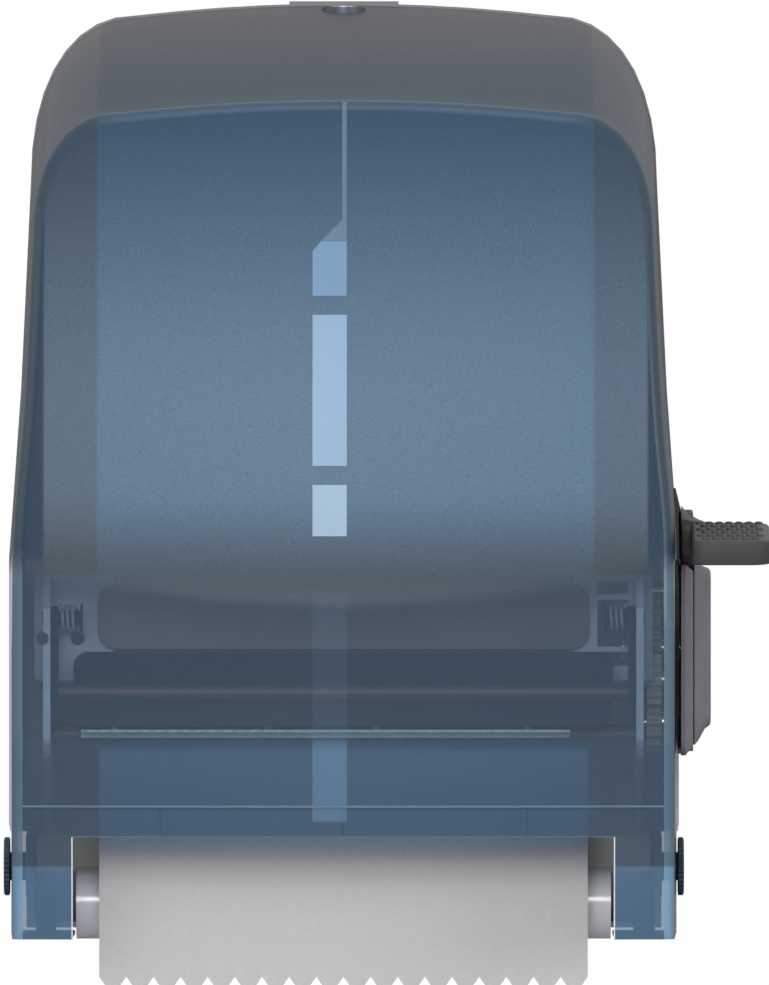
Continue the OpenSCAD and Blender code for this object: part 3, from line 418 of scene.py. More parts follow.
# Lock. The dark sleeve stands in the top of the cover, the steel barrel turns in it, and its cam goes
# under the catch of the rear case.
wear("lock_sleeve", moulded("lock_plastic", (0.05, 0.07, 0.10), rough=0.4))
wear("lock_barrel", drawn_steel("lock_steel", (0.26, 0.27, 0.29), 0.45, (1, 1, 1)))
wear("lock_cam", screw_steel)


# Roll arms. Two dark moulded arms swing outward on steel pins in the rear case, so that a roll can be put
# in. The tapered hubs at their ends hold its core.
arm_plastic = moulded("arm_plastic", (0.07, 0.10, 0.15), rough=0.42)
wear("roll_arm_left", arm_plastic)
wear("roll_arm_right", arm_plastic)
hub_plastic = moulded("hub_plastic", (0.03, 0.035, 0.045), rough=0.45)
wear("core_hub_left", hub_plastic)
wear("core_hub_right", hub_plastic)


# Towel roll. Soft embossed paper wound on a board core: the ends show the turns of the winding and the
# outside has the fine crepe of the towel. Its outer turn is a little uneven.
def towel_paper(name, colour):
    finish, tree, shader, where = new_finish(name)
    fibre = cloud(tree, where, 900, 6)
    tree.links.new(tinted(tree, spread(tree, fibre, 0, 1), [c * 0.93 for c in colour], colour),
                   shader.inputs["Base Color"])
    shader.inputs["Roughness"].default_value = 0.95
    shader.inputs["Specular IOR Level"].default_value = 0.15
    crepe = cloud(tree, where, 700, 3, (0.35, 1, 1))
    relief(tree, shader, crepe, 0.5, 0.00025)
    return finish


paper = towel_paper("towel_paper", (0.575, 0.575, 0.58))
towel_half, roll_y, roll_z, roll_r = 101.6, -106, 64, 94
board_r, turns_shown = 21.0, 46
wear("roll_core", moulded("core_board", (0.42, 0.30, 0.19), rough=0.8, shade=0.15, gloss=0.1))
end_face = []
for k in range(turns_shown):
    r = between(roll_r - 0.9, board_r, k / (turns_shown - 1))
    end_face.append((towel_half - (0.05 if k % 2 else 0.5), r))
rounding = [(towel_half - 0.25, roll_r - 0.4), (towel_half - 0.9, roll_r)]
edge = end_face[::-1] + rounding
side_steps = [(x, roll_r) for x in range(84, 0, -12)]
profile = [(-x, r) for x, r in edge] + [(-x, r) for x, r in side_steps] + [(0, roll_r)]
profile += side_steps[::-1] + edge[::-1]
verts, faces = lathe(profile, (0, roll_y, roll_z), turns=144, closed=True,
                     wave=lambda a, r: -0.22 + 0.1 * sin(3 * a) + 0.08 * sin(7 * a + 1) if r > 90 else 0)
roll = piece("towel_wound", verts, faces, "roll", [paper], 30)
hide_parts("towel_roll")


# Towel end. The free stretch comes off the back of the roll, bends over into the nip of the rollers and
# hangs out of the foot, torn off along a zigzag. It is one layer of the same paper.
sheet_y, sheet_low, sheet_t = -160.55, -219.4, 0.5
bend_r, bend_top = 12, -64
reach_y, reach_z = roll_y - sheet_y, roll_z - bend_top
leave_r = roll_r + 0.3 + sheet_t / 2
pull = atan2(reach_z, reach_y) - asin(leave_r / hypot(reach_y, reach_z))
pull_len = sqrt(reach_y ** 2 + reach_z ** 2 - leave_r ** 2)
bend_len = bend_r * tan((pi / 2 - pull) / 2)
centre_y, centre_z = sheet_y + bend_r, bend_top - bend_len
path = []
for k in range(8):
    t = 1 - k / 8
    path.append((sheet_y + t * pull_len * cos(pull) + (1 - t) * bend_len * cos(pull),
                 bend_top + t * pull_len * sin(pull) + (1 - t) * bend_len * sin(pull)))
for k in range(9):
    a = (pi / 2 - pull) * (1 - k / 8)
    path.append((centre_y - bend_r * cos(a), centre_z + bend_r * sin(a)))
lowest = path[-1][1]
free_from, rows_below = -150.0, 40
path += [(sheet_y, between(lowest, sheet_low, k / rows_below)) for k in range(1, rows_below + 1)]
teeth, per_tooth = 18, 6
columns = teeth * per_tooth
sheet_verts = []
for face_side in (-1, 1):
    for i, (y, z) in enumerate(path):
        ahead, behind = path[min(i + 1, len(path) - 1)], path[max(i - 1, 0)]
        dy, dz = ahead[0] - behind[0], ahead[1] - behind[1]
        ny, nz = dz / hypot(dy, dz), -dy / hypot(dy, dz)
        hang = max(0, (free_from - z) / (free_from - sheet_low))
        for c in range(columns + 1):
            x = between(-towel_half, towel_half, c / columns)
            tooth = abs((c % per_tooth) / per_tooth * 2 - 1)
            lift = 8.1 * tooth * max(0, (hang - 0.72) / 0.28) ** 1.5
            ripple = hang * (0.5 * sin(x * 0.052 + 0.6) + 0.25 * sin(x * 0.13 + z * 0.03))
            curl = -2.2 * hang * hang + ripple
            out = face_side * sheet_t / 2
            sheet_verts.append((x, y + out * ny + curl, z + out * nz + lift))
row = columns + 1
count = row * len(path)
sheet_faces = []
for i in range(len(path) - 1):
    for c in range(columns):
        a = i * row + c
        sheet_faces.append((a, a + 1, a + row + 1, a + row))
        sheet_faces.append((a + count, a + row + count, a + row + 1 + count, a + 1 + count))
    for a in (i * row, i * row + columns):
        sheet_faces.append((a, a + row, a + row + count, a + count))
for start in (0, (len(path) - 1) * row):
    for c in range(columns):
        a = start + c
        sheet_faces.append((a, a + 1, a + 1 + count, a + count))
# the paper just under the cover is painted darker and blue: painted shade, for the cover's shadow and the
# blue light that comes through it
hung_paper_painted_shade = towel_paper("hung_paper_painted_shade", (0.575, 0.57, 0.575))
tree, shader, place = over_place(hung_paper_painted_shade)
under = tree.nodes.new("ShaderNodeMapRange")
under.interpolation_type = "SMOOTHSTEP"
under.inputs["From Min"].default_value = -0.168
under.inputs["From Max"].default_value = -0.150
tree.links.new(place.outputs["Z"], under.inputs["Value"])
painted_cover_shade = tree.nodes.new("ShaderNodeMix")
painted_cover_shade.data_type = "RGBA"
painted_cover_shade.blend_type = "MULTIPLY"
painted_cover_shade.inputs[7].default_value = (0.52, 0.72, 1.0, 1)
tree.links.new(under.outputs["Result"], painted_cover_shade.inputs[0])
tree.links.new(shader.inputs["Base Color"].links[0].from_socket, painted_cover_shade.inputs[6])
tree.links.new(painted_cover_shade.outputs[2], shader.inputs["Base Color"])
towel = piece("towel_end", sheet_verts, sheet_faces, "base", [hung_paper_painted_shade], 60)
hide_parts("towel_sheet")


# Lever. A dark arm beside the casing carries a flat paddle with rows of raised dots for grip. Both are
# moulded with soft edges in one textured plastic and are pressed onto the steel lever shaft.
def soften(verts, faces, pick, width, steps):
    work = bmesh.new()
    points = [work.verts.new(v) for v in verts]
    for face in faces:
        work.faces.new([points[i] for i in face])
    bmesh.ops.recalc_face_normals(work, faces=work.faces)
    edges = [e for e in work.edges if pick(e)]
    bmesh.ops.bevel(work, geom=edges, offset=width, segments=steps, affect="EDGES", profile=0.5,
                    clamp_overlap=True)
    work.verts.index_update()
    shape = [tuple(v.co) for v in work.verts], [[v.index for v in f.verts] for f in work.faces]
    work.free()
    return shape


def slab(outline, x0, x1, corner, edge):
    verts = [(x0, y, z) for y, z in outline] + [(x1, y, z) for y, z in outline]
    faces = prism_faces(len(outline))
    if corner:
        verts, faces = soften(verts, faces, lambda e: abs(e.verts[0].co.x - e.verts[1].co.x) > 0.1, corner, 4)
    return soften(verts, faces, lambda e: abs(e.verts[0].co.x - e.verts[1].co.x) < 0.01
                  and sum(len(f.verts) > 4 for f in e.link_faces) == 1, edge, 2)


def loft(rings):
    n = len(rings[0])
    verts = [p for ring in rings for p in ring]
    faces = [(k * n + i, k * n + (i + 1) % n, (k + 1) * n + (i + 1) % n, (k + 1) * n + i)
             for k in range(len(rings) - 1) for i in range(n)]
    faces.append(list(range(n)))
    faces.append([(len(rings) - 1) * n + i for i in range(n)])
    return verts, faces


lever_plastic = moulded("lever_plastic", (0.054, 0.051, 0.052), rough=0.55, grain=900, grain_height=0.00006,
                        shade=0.10, gloss=0.2)
lever_y, lever_z = -88, -75
arm_x, arm_w = 140.75, 5.05
paddle_y, paddle_top, paddle_root = lever_y - 62, lever_z + 52.8, 8
web = [(9, 4), (-4, -8), (-14, -2), (-46, 35),
       (paddle_y - paddle_root - lever_y, paddle_top - 14.3 - lever_z),
       (paddle_y - paddle_root - lever_y, paddle_top - 3.3 - lever_z),
       (-54, 54), (-47, 56.5), (-40, 57.8), (-33, 58), (-26, 56.5), (-21, 53), (-16, 47), (4, 16)]
arm_web = slab([(lever_y + y, lever_z + z) for y, z in web], arm_x, arm_x + arm_w, 1.2, 0.8)
arm_hub = lathe([(arm_x + 0.5, 5.0), (arm_x + 0.5, 12.4), (arm_x + 1.1, 13), (arm_x + arm_w - 0.6, 13),
                 (arm_x + arm_w, 12.4), (arm_x + arm_w, 5.0)], (0, lever_y, lever_z), turns=64, closed=True)
sweep = [radians(a) for a in range(140, 227, 4)]
skirt = [(lever_y + 35 * cos(a), lever_z + 35 * sin(a)) for a in sweep]
skirt += [(lever_y + 33 * cos(a), lever_z + 33 * sin(a)) for a in sweep[::-1]]
rib_at = radians(224)
rib = [(lever_y + r * cos(rib_at) - s * sin(rib_at), lever_z + r * sin(rib_at) + s * cos(rib_at))
       for r, s in ((6, -1.5), (60, -1.5), (60, 1.5), (6, 1.5))]
# hollow-curved gusset between the web and the back of the paddle
gusset = []
for y, top in ((paddle_y + 1.3, -20.9), (-142, -18.2), (-138, -16.8), (-131, -15.7), (-127, -15.4)):
    low, ring = paddle_top - 0.4, []
    for k in range(9):
        t = k / 8
        ring.append((arm_x + 15.4 * t, y, max(top + (low - top) * (1 - (1 - t) ** 2.4), low)))
    gusset.append(ring + [(arm_x + 15.4, y, paddle_top - 8.6), (arm_x, y, paddle_top - 8.6)])
verts, faces = gather([arm_web, arm_hub, loft(gusset)])
lever_arm = piece("lever_arm_moulded", verts, faces, "lever", [lever_plastic], 40)
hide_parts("lever_arm")
# curved skirt and rib of the arm, in the plastic of the housing
housing_grain = moulded("housing_plastic", (0.172, 0.168, 0.19), rough=0.55, grain=1100,
                        grain_height=0.0001, shade=0.22, gloss=0.3)
verts, faces = gather([slab(skirt, arm_x, arm_x + arm_w, 0, 0.3), slab(rib, arm_x, arm_x + arm_w, 0, 0.3)])
skirt_piece = piece("lever_skirt", verts, faces, "lever", [housing_grain], 40)
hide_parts("lever_arm")

paddle_x0, paddle_x1, paddle_len, paddle_t = arm_x + arm_w - 1.3, 177.2, 76, 10
corner_r, dot_r, dot_step_x, dot_step_y = 9, 1.8, 4.1, 12.2
plan = []
for cx, cy, a0 in ((paddle_x1 - corner_r, -corner_r, 0), (paddle_x0 + 3, -3, 90),
                   (paddle_x0 + 5, 5 - paddle_len, 180), (paddle_x1 - corner_r, corner_r - paddle_len, 270)):
    r = corner_r if cx > 160 else 5 if a0 == 180 else 3
    for k in range(7):
        a = radians(a0 + 15 * k)
        plan.append((cx + r * cos(a), cy + r * sin(a)))
verts = [(x, y, 0) for x, y in plan] + [(x, y, -paddle_t) for x, y in plan]
plate = soften(verts, prism_faces(len(plan)), lambda e: abs(e.verts[0].co.z - e.verts[1].co.z) < 0.01
               and e.verts[0].co.z > -1, 1.6, 4)
plate = soften(*plate, lambda e: abs(e.verts[0].co.z - e.verts[1].co.z) < 0.01
               and e.verts[0].co.z < 0.5 - paddle_t, 0.6, 2)
dots = []
for j in range(6):
    for i in range(7):
        x = paddle_x0 + 3.6 + i * dot_step_x + (j % 2) * 2
        if x < paddle_x1 - 3.6:
            dome = [(-0.3, dot_r), (0, dot_r), (0.45, dot_r * 0.94), (0.8, dot_r * 0.72),
                    (0.97, dot_r * 0.35), (1.0, 0.02)]
            dots.append(lathe(dome, (x, -7 - j * dot_step_y, 0), axis="Z", turns=16))
flat_verts, faces = gather([plate] + dots)
tip = radians(6)
verts = [(x, paddle_y + y * cos(tip) - z * sin(tip), paddle_top + y * sin(tip) + z * cos(tip))
         for x, y, z in flat_verts]
paddle = piece("lever_paddle_moulded", verts, faces, "lever", [lever_plastic], 40)
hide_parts("lever_paddle")


# Lever housing. A hollow tapering cap is screwed to the side frame over the gears and the lever's hub. Its
# dark grained plastic has softened edges, and a slot beside the casing lets the arm swing.
def rounded(y0, z0, y1, z1, r):
    steps = 5
    ring = []
    for cy, cz, a0 in ((y1 - r, z1 - r, 0), (y0 + r, z1 - r, 90),
                       (y0 + r, z0 + r, 180), (y1 - r, z0 + r, 270)):
        ring += [(cy + r * cos(radians(a0 + 90 * k / steps)), cz + r * sin(radians(a0 + 90 * k / steps)))
                 for k in range(steps + 1)]
    return ring


def housing_rings(g):
    wide = (lever_y - 54 + g, lever_z - 44.5 + g, -29 - g, lever_z + 37 - g)
    small = (lever_y - 36 + g, lever_z - 33 + g, -40 - g, lever_z + 34 - g)
    back_x, face_x, round_x = 140.35, 153.3 - g, 2.4
    rings = []
    for x, t, inset in ((back_x, 0, 0), (142.5, 0, 0), (148, 0.53, 0), (face_x - round_x, 0.97, 0),
                        (face_x - 1.2, 1.0, 0.35), (face_x - 0.35, 1.0, 1.1), (face_x, 1.0, 2.3)):
        y0, z0, y1, z1 = [between(a, b, t) for a, b in zip(wide, small)]
        rings.append([(x, y, z) for y, z in rounded(y0 + inset, z0 + inset, y1 - inset, z1 - inset,
                                                    max(6 - g - inset * 0.5, 1.5))])
    return rings


def cutter(verts, faces):
    mesh = bpy.data.meshes.new("cutting_tool")
    mesh.from_pydata([(x * 0.001, y * 0.001, z * 0.001) for x, y, z in verts], [], faces)
    work = bmesh.new()
    work.from_mesh(mesh)
    bmesh.ops.recalc_face_normals(work, faces=work.faces)
    work.to_mesh(mesh)
    work.free()
    ob = bpy.data.objects.new("cutting_tool", mesh)
    scene.collection.objects.link(ob)
    return ob


def cutter_block(a, b):
    return cutter(*upright_box(a[0], b[0], a[1], b[1], a[2], b[2]))


def cutter_prism(x0, x1, outline):
    verts = [(x0, y, z) for y, z in outline] + [(x1, y, z) for y, z in outline]
    return cutter(verts, prism_faces(len(outline)))


def finish_edges(ob, smooth_angle):
    for polygon in ob.data.polygons:
        polygon.use_smooth = True
    ob.data.set_sharp_from_angle(angle=radians(smooth_angle))


def carve(ob, tools):
    for tool in tools:
        bite = ob.modifiers.new("bite", "BOOLEAN")
        bite.operation = "DIFFERENCE"
        bite.solver = "EXACT"
        bite.object = tool
    bpy.context.view_layer.update()
    whole = bpy.data.meshes.new_from_object(ob.evaluated_get(bpy.context.evaluated_depsgraph_get()))
    ob.modifiers.clear()
    ob.data = whole
    for tool in tools:
        bpy.data.objects.remove(tool)


outer_housing, inner_housing = housing_rings(0), housing_rings(2.2)
verts, faces = loft(outer_housing[::-1] + inner_housing)
housing = piece("lever_housing_moulded", verts, faces, "base", [housing_grain], 38)


def swing_room(r, end):
    steps = [radians(between(97, end, k / 24)) for k in range(25)]
    return cutter_prism(139.5, arm_x + arm_w + 0.5,
                        [(lever_y + 100 * cos(a), lever_z + 100 * sin(a)) for a in steps]
                        + [(lever_y + r * cos(a), lever_z + r * sin(a)) for a in steps[::-1]])


carve(housing, [swing_room(35.4, 300), swing_room(30, 140)])
finish_edges(housing, 38)
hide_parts("lever_housing")

# shield on the arm that fills the slot, flush with the housing, and swings down with the lever
outer_shield = [[(x, y + 0.15, z) for x, y, z in ring] for ring in outer_housing[::-1]]
shield = piece("lever_shield", *loft(outer_shield + inner_housing), "lever", [housing_grain], 38)


def all_but(r, start, end):
    # everything in the arm's plane that is nearer than r or outside the directions start to end
    turn = [radians(between(start, end, k / 24)) for k in range(25)]
    rest_turn = [radians(between(end, start + 360, k / 40)) for k in range(41)]
    outside = [(lever_y + 150 * cos(a), lever_z + 150 * sin(a)) for a in rest_turn]
    near = [(lever_y + r * cos(a), lever_z + r * sin(a)) for a in turn]
    pivot = [(lever_y, lever_z)]
    return [cutter_prism(130, 160, outside + pivot), cutter_prism(130, 160, pivot + near)]


carve(shield, all_but(36, 146, 235) + [cutter_block((arm_x + arm_w, -200, -200), (170, 0, 50)),
                                       cutter_block((130, -200, -200), (arm_x, 0, 50))])
finish_edges(shield, 38)
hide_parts("lever_arm")

# filler plate on the housing, which closes the curved slot in the cover's side round the shaft
span = hypot(lever_y - hinge_y, lever_z - hinge_z)


def hinge_arc(r, angles):
    return [(hinge_y + r * cos(a), hinge_z + r * sin(a)) for a in angles]


turn = [radians(a) for a in range(97, 128, 2)]
plate = hinge_arc(span + 24.6, turn) + hinge_arc(span - 24.6, turn[::-1])
filler = piece("housing_filler", *slab(plate, 138.5, 140.35, 0, 0.2), "base", [housing_grain], 30)
shaft_hole, hole_faces = lathe([(135, 9.6), (143, 9.6)], (0, lever_y, lever_z), turns=48)
carve(filler, [cutter(shaft_hole, hole_faces)])
finish_edges(filler, 30)
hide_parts("lever_housing")

# tongue of the housing that hooks over the rim of the rear case
tongue_front, tongue_back, hook_back = -28.22, -28.03, -12


def tongue_rings(back, sections):
    return [[(x0, tongue_front, z), (x1, tongue_front, z), (x1, back, z), (x0, back, z)]
            for x0, x1, z in sections]


tongue = loft(tongue_rings(tongue_back, ((139.0, 142.6, -60), (139.0, 142.6, -38), (138.2, 142.0, -18),
                                         (137.6, 139.6, -8))))
hooked = loft(tongue_rings(hook_back, ((141.1, 142.6, -60), (141.1, 142.6, -38), (140.9, 142.0, -18))))
hook = piece("housing_tongue", *gather([tongue, hooked]), "base", [lever_plastic], 30)
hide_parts("lever_housing")


# Cover. One thin shell of translucent blue plastic. Its outside is finely frosted above a smile-shaped line
# and polished clear below it, and a clear strip down the middle shows how much towel is left.
foot_z, cover_wall, cover_back, front_y = -195, 2.6, -28.3, -232.75
opening_half, opening_head = 112, -152.5


def cover_outline(u, g):
    side, shoulder = 140 - 2.8 * u - g, 130.8 - 1.68 * u - g
    corner_z, top_z = between(120, 95, u), 190 - 42 * u ** 1.3 - g
    corner_w = between(45, 36, u)
    inner_x = shoulder - corner_w
    right = [(side, z) for z in range(foot_z, -38, 12)]
    mid_z, mid_x = between(-38, corner_z, 0.45), between(side, shoulder, 0.55)
    slope = (shoulder - side) / (corner_z + 38)
    for z0, x0, m0, z1, x1, m1 in ((-38, side, 0, mid_z, mid_x, slope * 1.15),
                                   (mid_z, mid_x, slope * 1.15, corner_z, shoulder, slope * 0.7)):
        for k in range(6):
            t, h = k / 6, z1 - z0
            right.append(((2 * t ** 3 - 3 * t * t + 1) * x0 + (t ** 3 - 2 * t * t + t) * h * m0
                          + (3 * t * t - 2 * t ** 3) * x1 + (t ** 3 - t * t) * h * m1, z0 + h * t))
    for i in range(17):
        a = pi / 2 * i / 16
        right.append((inner_x + corner_w * max(cos(a), 0) ** (2 / 2.25),
                      corner_z + (top_z - corner_z) * sin(a) ** (2 / 2.25)))
    for i in range(1, 11):
        x = inner_x * (1 - i / 10)
        right.append((x, top_z + 5 * (1 - (x / inner_x) ** 2)))
    return right + [(-x, z) for x, z in right[-2::-1]]


def front_depth(x, z, g):
    return front_y + g + 14 * (x / 140) ** 2 + (z + 40) ** 2 / (2 * (595 if z > -40 else 1400))


def cover_rings(g):
    r = max(6 - g, 1.5)
    crease, panel = cover_outline(1, g), cover_outline(1, g + r)
    rings = []
    for k in range(13):
        rings.append([(x, between(cover_back, front_depth(cx, cz, g) + r, k / 12), z)
                      for (x, z), (cx, cz) in zip(cover_outline(k / 12, g), crease)])
    for k in range(1, 7):
        a = pi / 2 * k / 6
        rings.append([(x, front_depth(x, z, g) + r * (1 - sin(a)), z)
                      for x, z in cover_outline(1, g + r * (1 - cos(a)))])
    for k in range(1, 24):
        f = 1 - k / 24
        rings.append([(x * f, front_depth(x * f, between(foot_z, z, f), g), between(foot_z, z, f))
                      for x, z in panel])
    return rings


def cover_mesh():
    outer, inner = cover_rings(0), cover_rings(cover_wall)
    n, m = len(outer[0]), len(outer)
    size = n * m + 1
    verts = [p for ring in outer for p in ring] + [(0, front_depth(0, foot_z, 0), foot_z)]
    verts += [p for ring in inner for p in ring] + [(0, front_depth(0, foot_z, cover_wall), foot_z)]
    faces, kinds = [], []
    for base, flip in ((0, False), (size, True)):
        for k in range(m - 1):
            for s in range(n - 1):
                here, ahead = base + k * n + s, base + (k + 1) * n + s
                quad = [here, ahead, ahead + 1, here + 1]
                faces.append(quad[::-1] if flip else quad)
                kinds.append(3 if flip else 0 if k < 13 else 1 if k < 17 else 2)
        for s in range(n - 1):
            tri = [base + (m - 1) * n + s, base + m * n, base + (m - 1) * n + s + 1]
            faces.append(tri[::-1] if flip else tri)
            kinds.append(3 if flip else 2)
    for s in range(n - 1):
        faces.append([s, s + 1, s + 1 + size, s + size])
        kinds.append(4)
    for last in (0, n - 1):
        line = [k * n + last for k in range(m)] + [m * n]
        for a, b in zip(line, line[1:]):
            faces.append([a, b, b + size, a + size])
            kinds.append(4)
    return verts, faces, kinds


def cover_finish(name, painted_tones, clear, solid, rough=0.5, gloss=0.2, aside_painted_tone=(0.88, 0.79, 0.73),
                 rise=(0.020, 0.168)):
    # frosted above the smile line and clear below it. Both parts carry painted light and shade: the tones
    # change with height, beyond the ends of the roll and at the sides, as set for each finish below; the
    # frosted front is palest across its middle
    finish, tree, shader, where = new_finish(name)
    split = tree.nodes.new("ShaderNodeSeparateXYZ")
    tree.links.new(where, split.inputs[0])

    def maths(kind, a, b=None):
        step = tree.nodes.new("ShaderNodeMath")
        step.operation = kind
        for i, v in enumerate((a, b)):
            if isinstance(v, (int, float)):
                step.inputs[i].default_value = v
            elif v is not None:
                tree.links.new(v, step.inputs[i])
        return step.outputs[0]

    def fade(value, low, high):
        step = tree.nodes.new("ShaderNodeMapRange")
        step.interpolation_type = "SMOOTHSTEP"
        step.inputs["From Min"].default_value = low
        step.inputs["From Max"].default_value = high
        tree.links.new(value, step.inputs["Value"])
        return step.outputs["Result"]

    def mixed(amount, low, high):
        ramp = tree.nodes.new("ShaderNodeMix")
        ramp.data_type = "RGBA"
        tree.links.new(amount, ramp.inputs[0])
        for i, v in ((6, low), (7, high)):
            if isinstance(v, tuple):
                ramp.inputs[i].default_value = (*v, 1)
            else:
                tree.links.new(v, ramp.inputs[i])
        return ramp.outputs[2]

    x, z = split.outputs["X"], split.outputs["Z"]
    smile = maths("SUBTRACT", z, maths("ADD", maths("MULTIPLY", maths("MULTIPLY", x, x), 0.845), -0.0534))
    frost = fade(smile, -0.009, 0.006)
    fine = cloud(tree, where, 1500, 2)
    low, middle, top, band = painted_tones
    grey = mixed(fade(z, -0.050, -0.005), low, middle)
    grey = mixed(fade(z, *rise), grey, top)
    aside = maths("ABSOLUTE", maths("SUBTRACT", x, 0.001))
    paler = tree.nodes.new("ShaderNodeMix")
    paler.data_type = "RGBA"
    paler.blend_type = "MULTIPLY"
    tree.links.new(fade(aside, 0.1020, 0.1038), paler.inputs[0])
    tree.links.new(grey, paler.inputs[6])
    paler.inputs[7].default_value = (*aside_painted_tone, 1)
    grey = mixed(fade(aside, 0.1242, 0.1258), paler.outputs[2], band)
    speckle = tree.nodes.new("ShaderNodeHueSaturation")
    tree.links.new(grey, speckle.inputs["Color"])
    tree.links.new(spread(tree, fine, 0.86, 1.14), speckle.inputs["Value"])
    # a strip down the middle of the clear part is coloured lighter
    strip = maths("MULTIPLY", maths("GREATER_THAN", x, -0.0127), maths("LESS_THAN", x, 0.00146))
    strip = maths("MULTIPLY", strip, fade(z, -0.147, -0.145))
    # below the smile the clear plastic is painted bluer and darker where the towel hangs behind it, and
    # darker beside the towel: painted shade of the parts behind it
    foot = fade(z, -0.1105, -0.1150)
    clear_painted_sheet_shade = (clear[0] * 0.73, clear[1] * 0.88, clear[2] * 0.99)
    clear_painted_side_shade = (clear[0] * 0.78, clear[1] * 0.84, clear[2] * 0.87)
    bright = mixed(foot, mixed(strip, clear, tuple(c * 1.3 for c in clear)),
                   mixed(strip, mixed(fade(aside, 0.1008, 0.1020), clear_painted_sheet_shade, clear_painted_side_shade),
                         tuple(c * 1.95 for c in clear_painted_sheet_shade)))
    # lower still the feet are painted lighter: painted light of the bright apron behind them
    bright = mixed(fade(z, -0.1655, -0.1640), tuple(c * 1.75 for c in clear_painted_sheet_shade), bright)
    tree.links.new(mixed(frost, bright, speckle.outputs[0]), shader.inputs["Base Color"])
    tree.links.new(maths("ADD", maths("MULTIPLY", frost, rough - 0.05), 0.05), shader.inputs["Roughness"])
    body = maths("ADD", maths("MULTIPLY", foot, solid[2] - solid[1]), solid[1])
    over = maths("MULTIPLY", frost, maths("SUBTRACT", solid[0], body))
    tree.links.new(maths("ADD", over, body), shader.inputs["Alpha"])
    relief(tree, shader, maths("MULTIPLY", fine, frost), 0.3, 0.00010)
    shader.inputs["IOR"].default_value = 1.49
    shader.inputs["Specular IOR Level"].default_value = gloss
    return finish


def clear_plastic(name, colour, solid, rough=0.08):
    finish, tree, shader, where = new_finish(name)
    soft = cloud(tree, where, 40, 3)
    tree.links.new(tinted(tree, spread(tree, soft, 0, 1), [c * 0.93 for c in colour], colour),
                   shader.inputs["Base Color"])
    tree.links.new(spread(tree, soft, rough, rough + 0.05), shader.inputs["Roughness"])
    shader.inputs["Alpha"].default_value = solid
    shader.inputs["IOR"].default_value = 1.49
    return finish


verts, faces, kinds = cover_mesh()
# the shoulder's grey tones are a painted grazing reflection: grey rather than blue, lighter toward the top
# and over the sides
shoulder_painted_tones = ((0.078, 0.092, 0.106), (0.076, 0.093, 0.114), (0.106, 0.108, 0.120), (0.078, 0.088, 0.102))
# the rounded edge is coloured lighter than the front, frosted and clear alike: a painted highlight along the
# edge
edge_painted_tones = ((0.052, 0.075, 0.098), (0.065, 0.102, 0.143), (0.035, 0.078, 0.130), (0.040, 0.066, 0.094))
# the front's tones are painted light and shade of the roll behind it: palest in the middle where the lit roll
# is painted, darker toward the top, beyond the ends of the roll and in bands at the sides as painted shade
front_painted_tones = ((0.056, 0.083, 0.108), (0.105, 0.177, 0.267), (0.028, 0.062, 0.108), (0.022, 0.048, 0.083))
shoulder_finish = cover_finish("cover_shoulder", shoulder_painted_tones, (0.085, 0.115, 0.130), (0.94, 0.86, 0.96),
                               0.5, 0.05, (1.22, 1.16, 1.10), (0.160, 0.188))
edge_finish = cover_finish("cover_edge", edge_painted_tones, (0.135, 0.205, 0.275), (0.94, 0.84, 0.96), 0.3)
front_finish = cover_finish("cover_front", front_painted_tones, (0.070, 0.108, 0.156), (0.90, 0.46, 0.78))
inside_finish = clear_plastic("cover_inside", (0.20, 0.32, 0.45), 0.08)
cut_finish = clear_plastic("cover_cut_edge", (0.30, 0.46, 0.60), 0.80)
finishes = [shoulder_finish, edge_finish, front_finish, inside_finish, cut_finish]
cover = piece("cover_shell", verts, faces, "cover", finishes, 40)
for polygon, kind in zip(cover.data.polygons, kinds):
    polygon.material_index = kind
hinge_cuts = []
for x in (-1, 1):
    v, f = lathe([(x * 125, 6.1), (x * 145, 6.1)], (0, hinge_y, hinge_z), turns=48)
    hinge_cuts.append(cutter(v, f))
arc = [radians(a) for a in range(70, 129, 2)] + [radians(128.6)]
notch = hinge_arc(span + 25, arc) + hinge_arc(span - 25, arc[::-1])
v, f = lathe([(150, 9.3), (215, 9.3)], (0, -44, 0), axis="Z", turns=48)
opening = cutter_block((-opening_half, -300, foot_z - 30), (opening_half, -88, opening_head))
carve(cover, [opening, cutter_prism(125, 145, notch), cutter(v, f)] + hinge_cuts)
finish_edges(cover, 40)
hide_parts("cover")


# Sight window. Three clear panes in the frosted front show how much towel is left, and a fine ridge runs
# up from them to the top edge. They are part of the same moulding, a hair proud of its face. The panes' light
# blue is painted light of the lit roll behind them, darker in each higher pane as painted shade.
def on_front(name, outline, finish, proud=0.1, rows=12):
    # outline gives the left and right edge at each height, from the bottom up
    verts = []
    for g in (-proud, 0.3):
        for k in range(rows + 1):
            at = k / rows * (len(outline) - 1)
            i = min(int(at), len(outline) - 2)
            left, right, z = [between(a, b, at - i) for a, b in zip(outline[i], outline[i + 1])]
            verts += [(x, front_depth(x, z, g), z) for x in (left, between(left, right, 0.5), right)]
    half = 3 * (rows + 1)
    faces = []
    for k in range(rows):
        for c in (0, 1):
            a = 3 * k + c
            faces += [(a, a + 1, a + 4, a + 3), (a + half, a + half + 3, a + half + 4, a + half + 1)]
        for a in (3 * k, 3 * k + 2):
            faces.append((a, a + 3, a + 3 + half, a + half))
    for a in (0, 1, 3 * rows, 3 * rows + 1):
        faces.append((a, a + 1, a + 1 + half, a + half))
    ob = piece(name, verts, faces, "cover", [finish], 30)


pane_left, pane_right = -12.7, 1.46
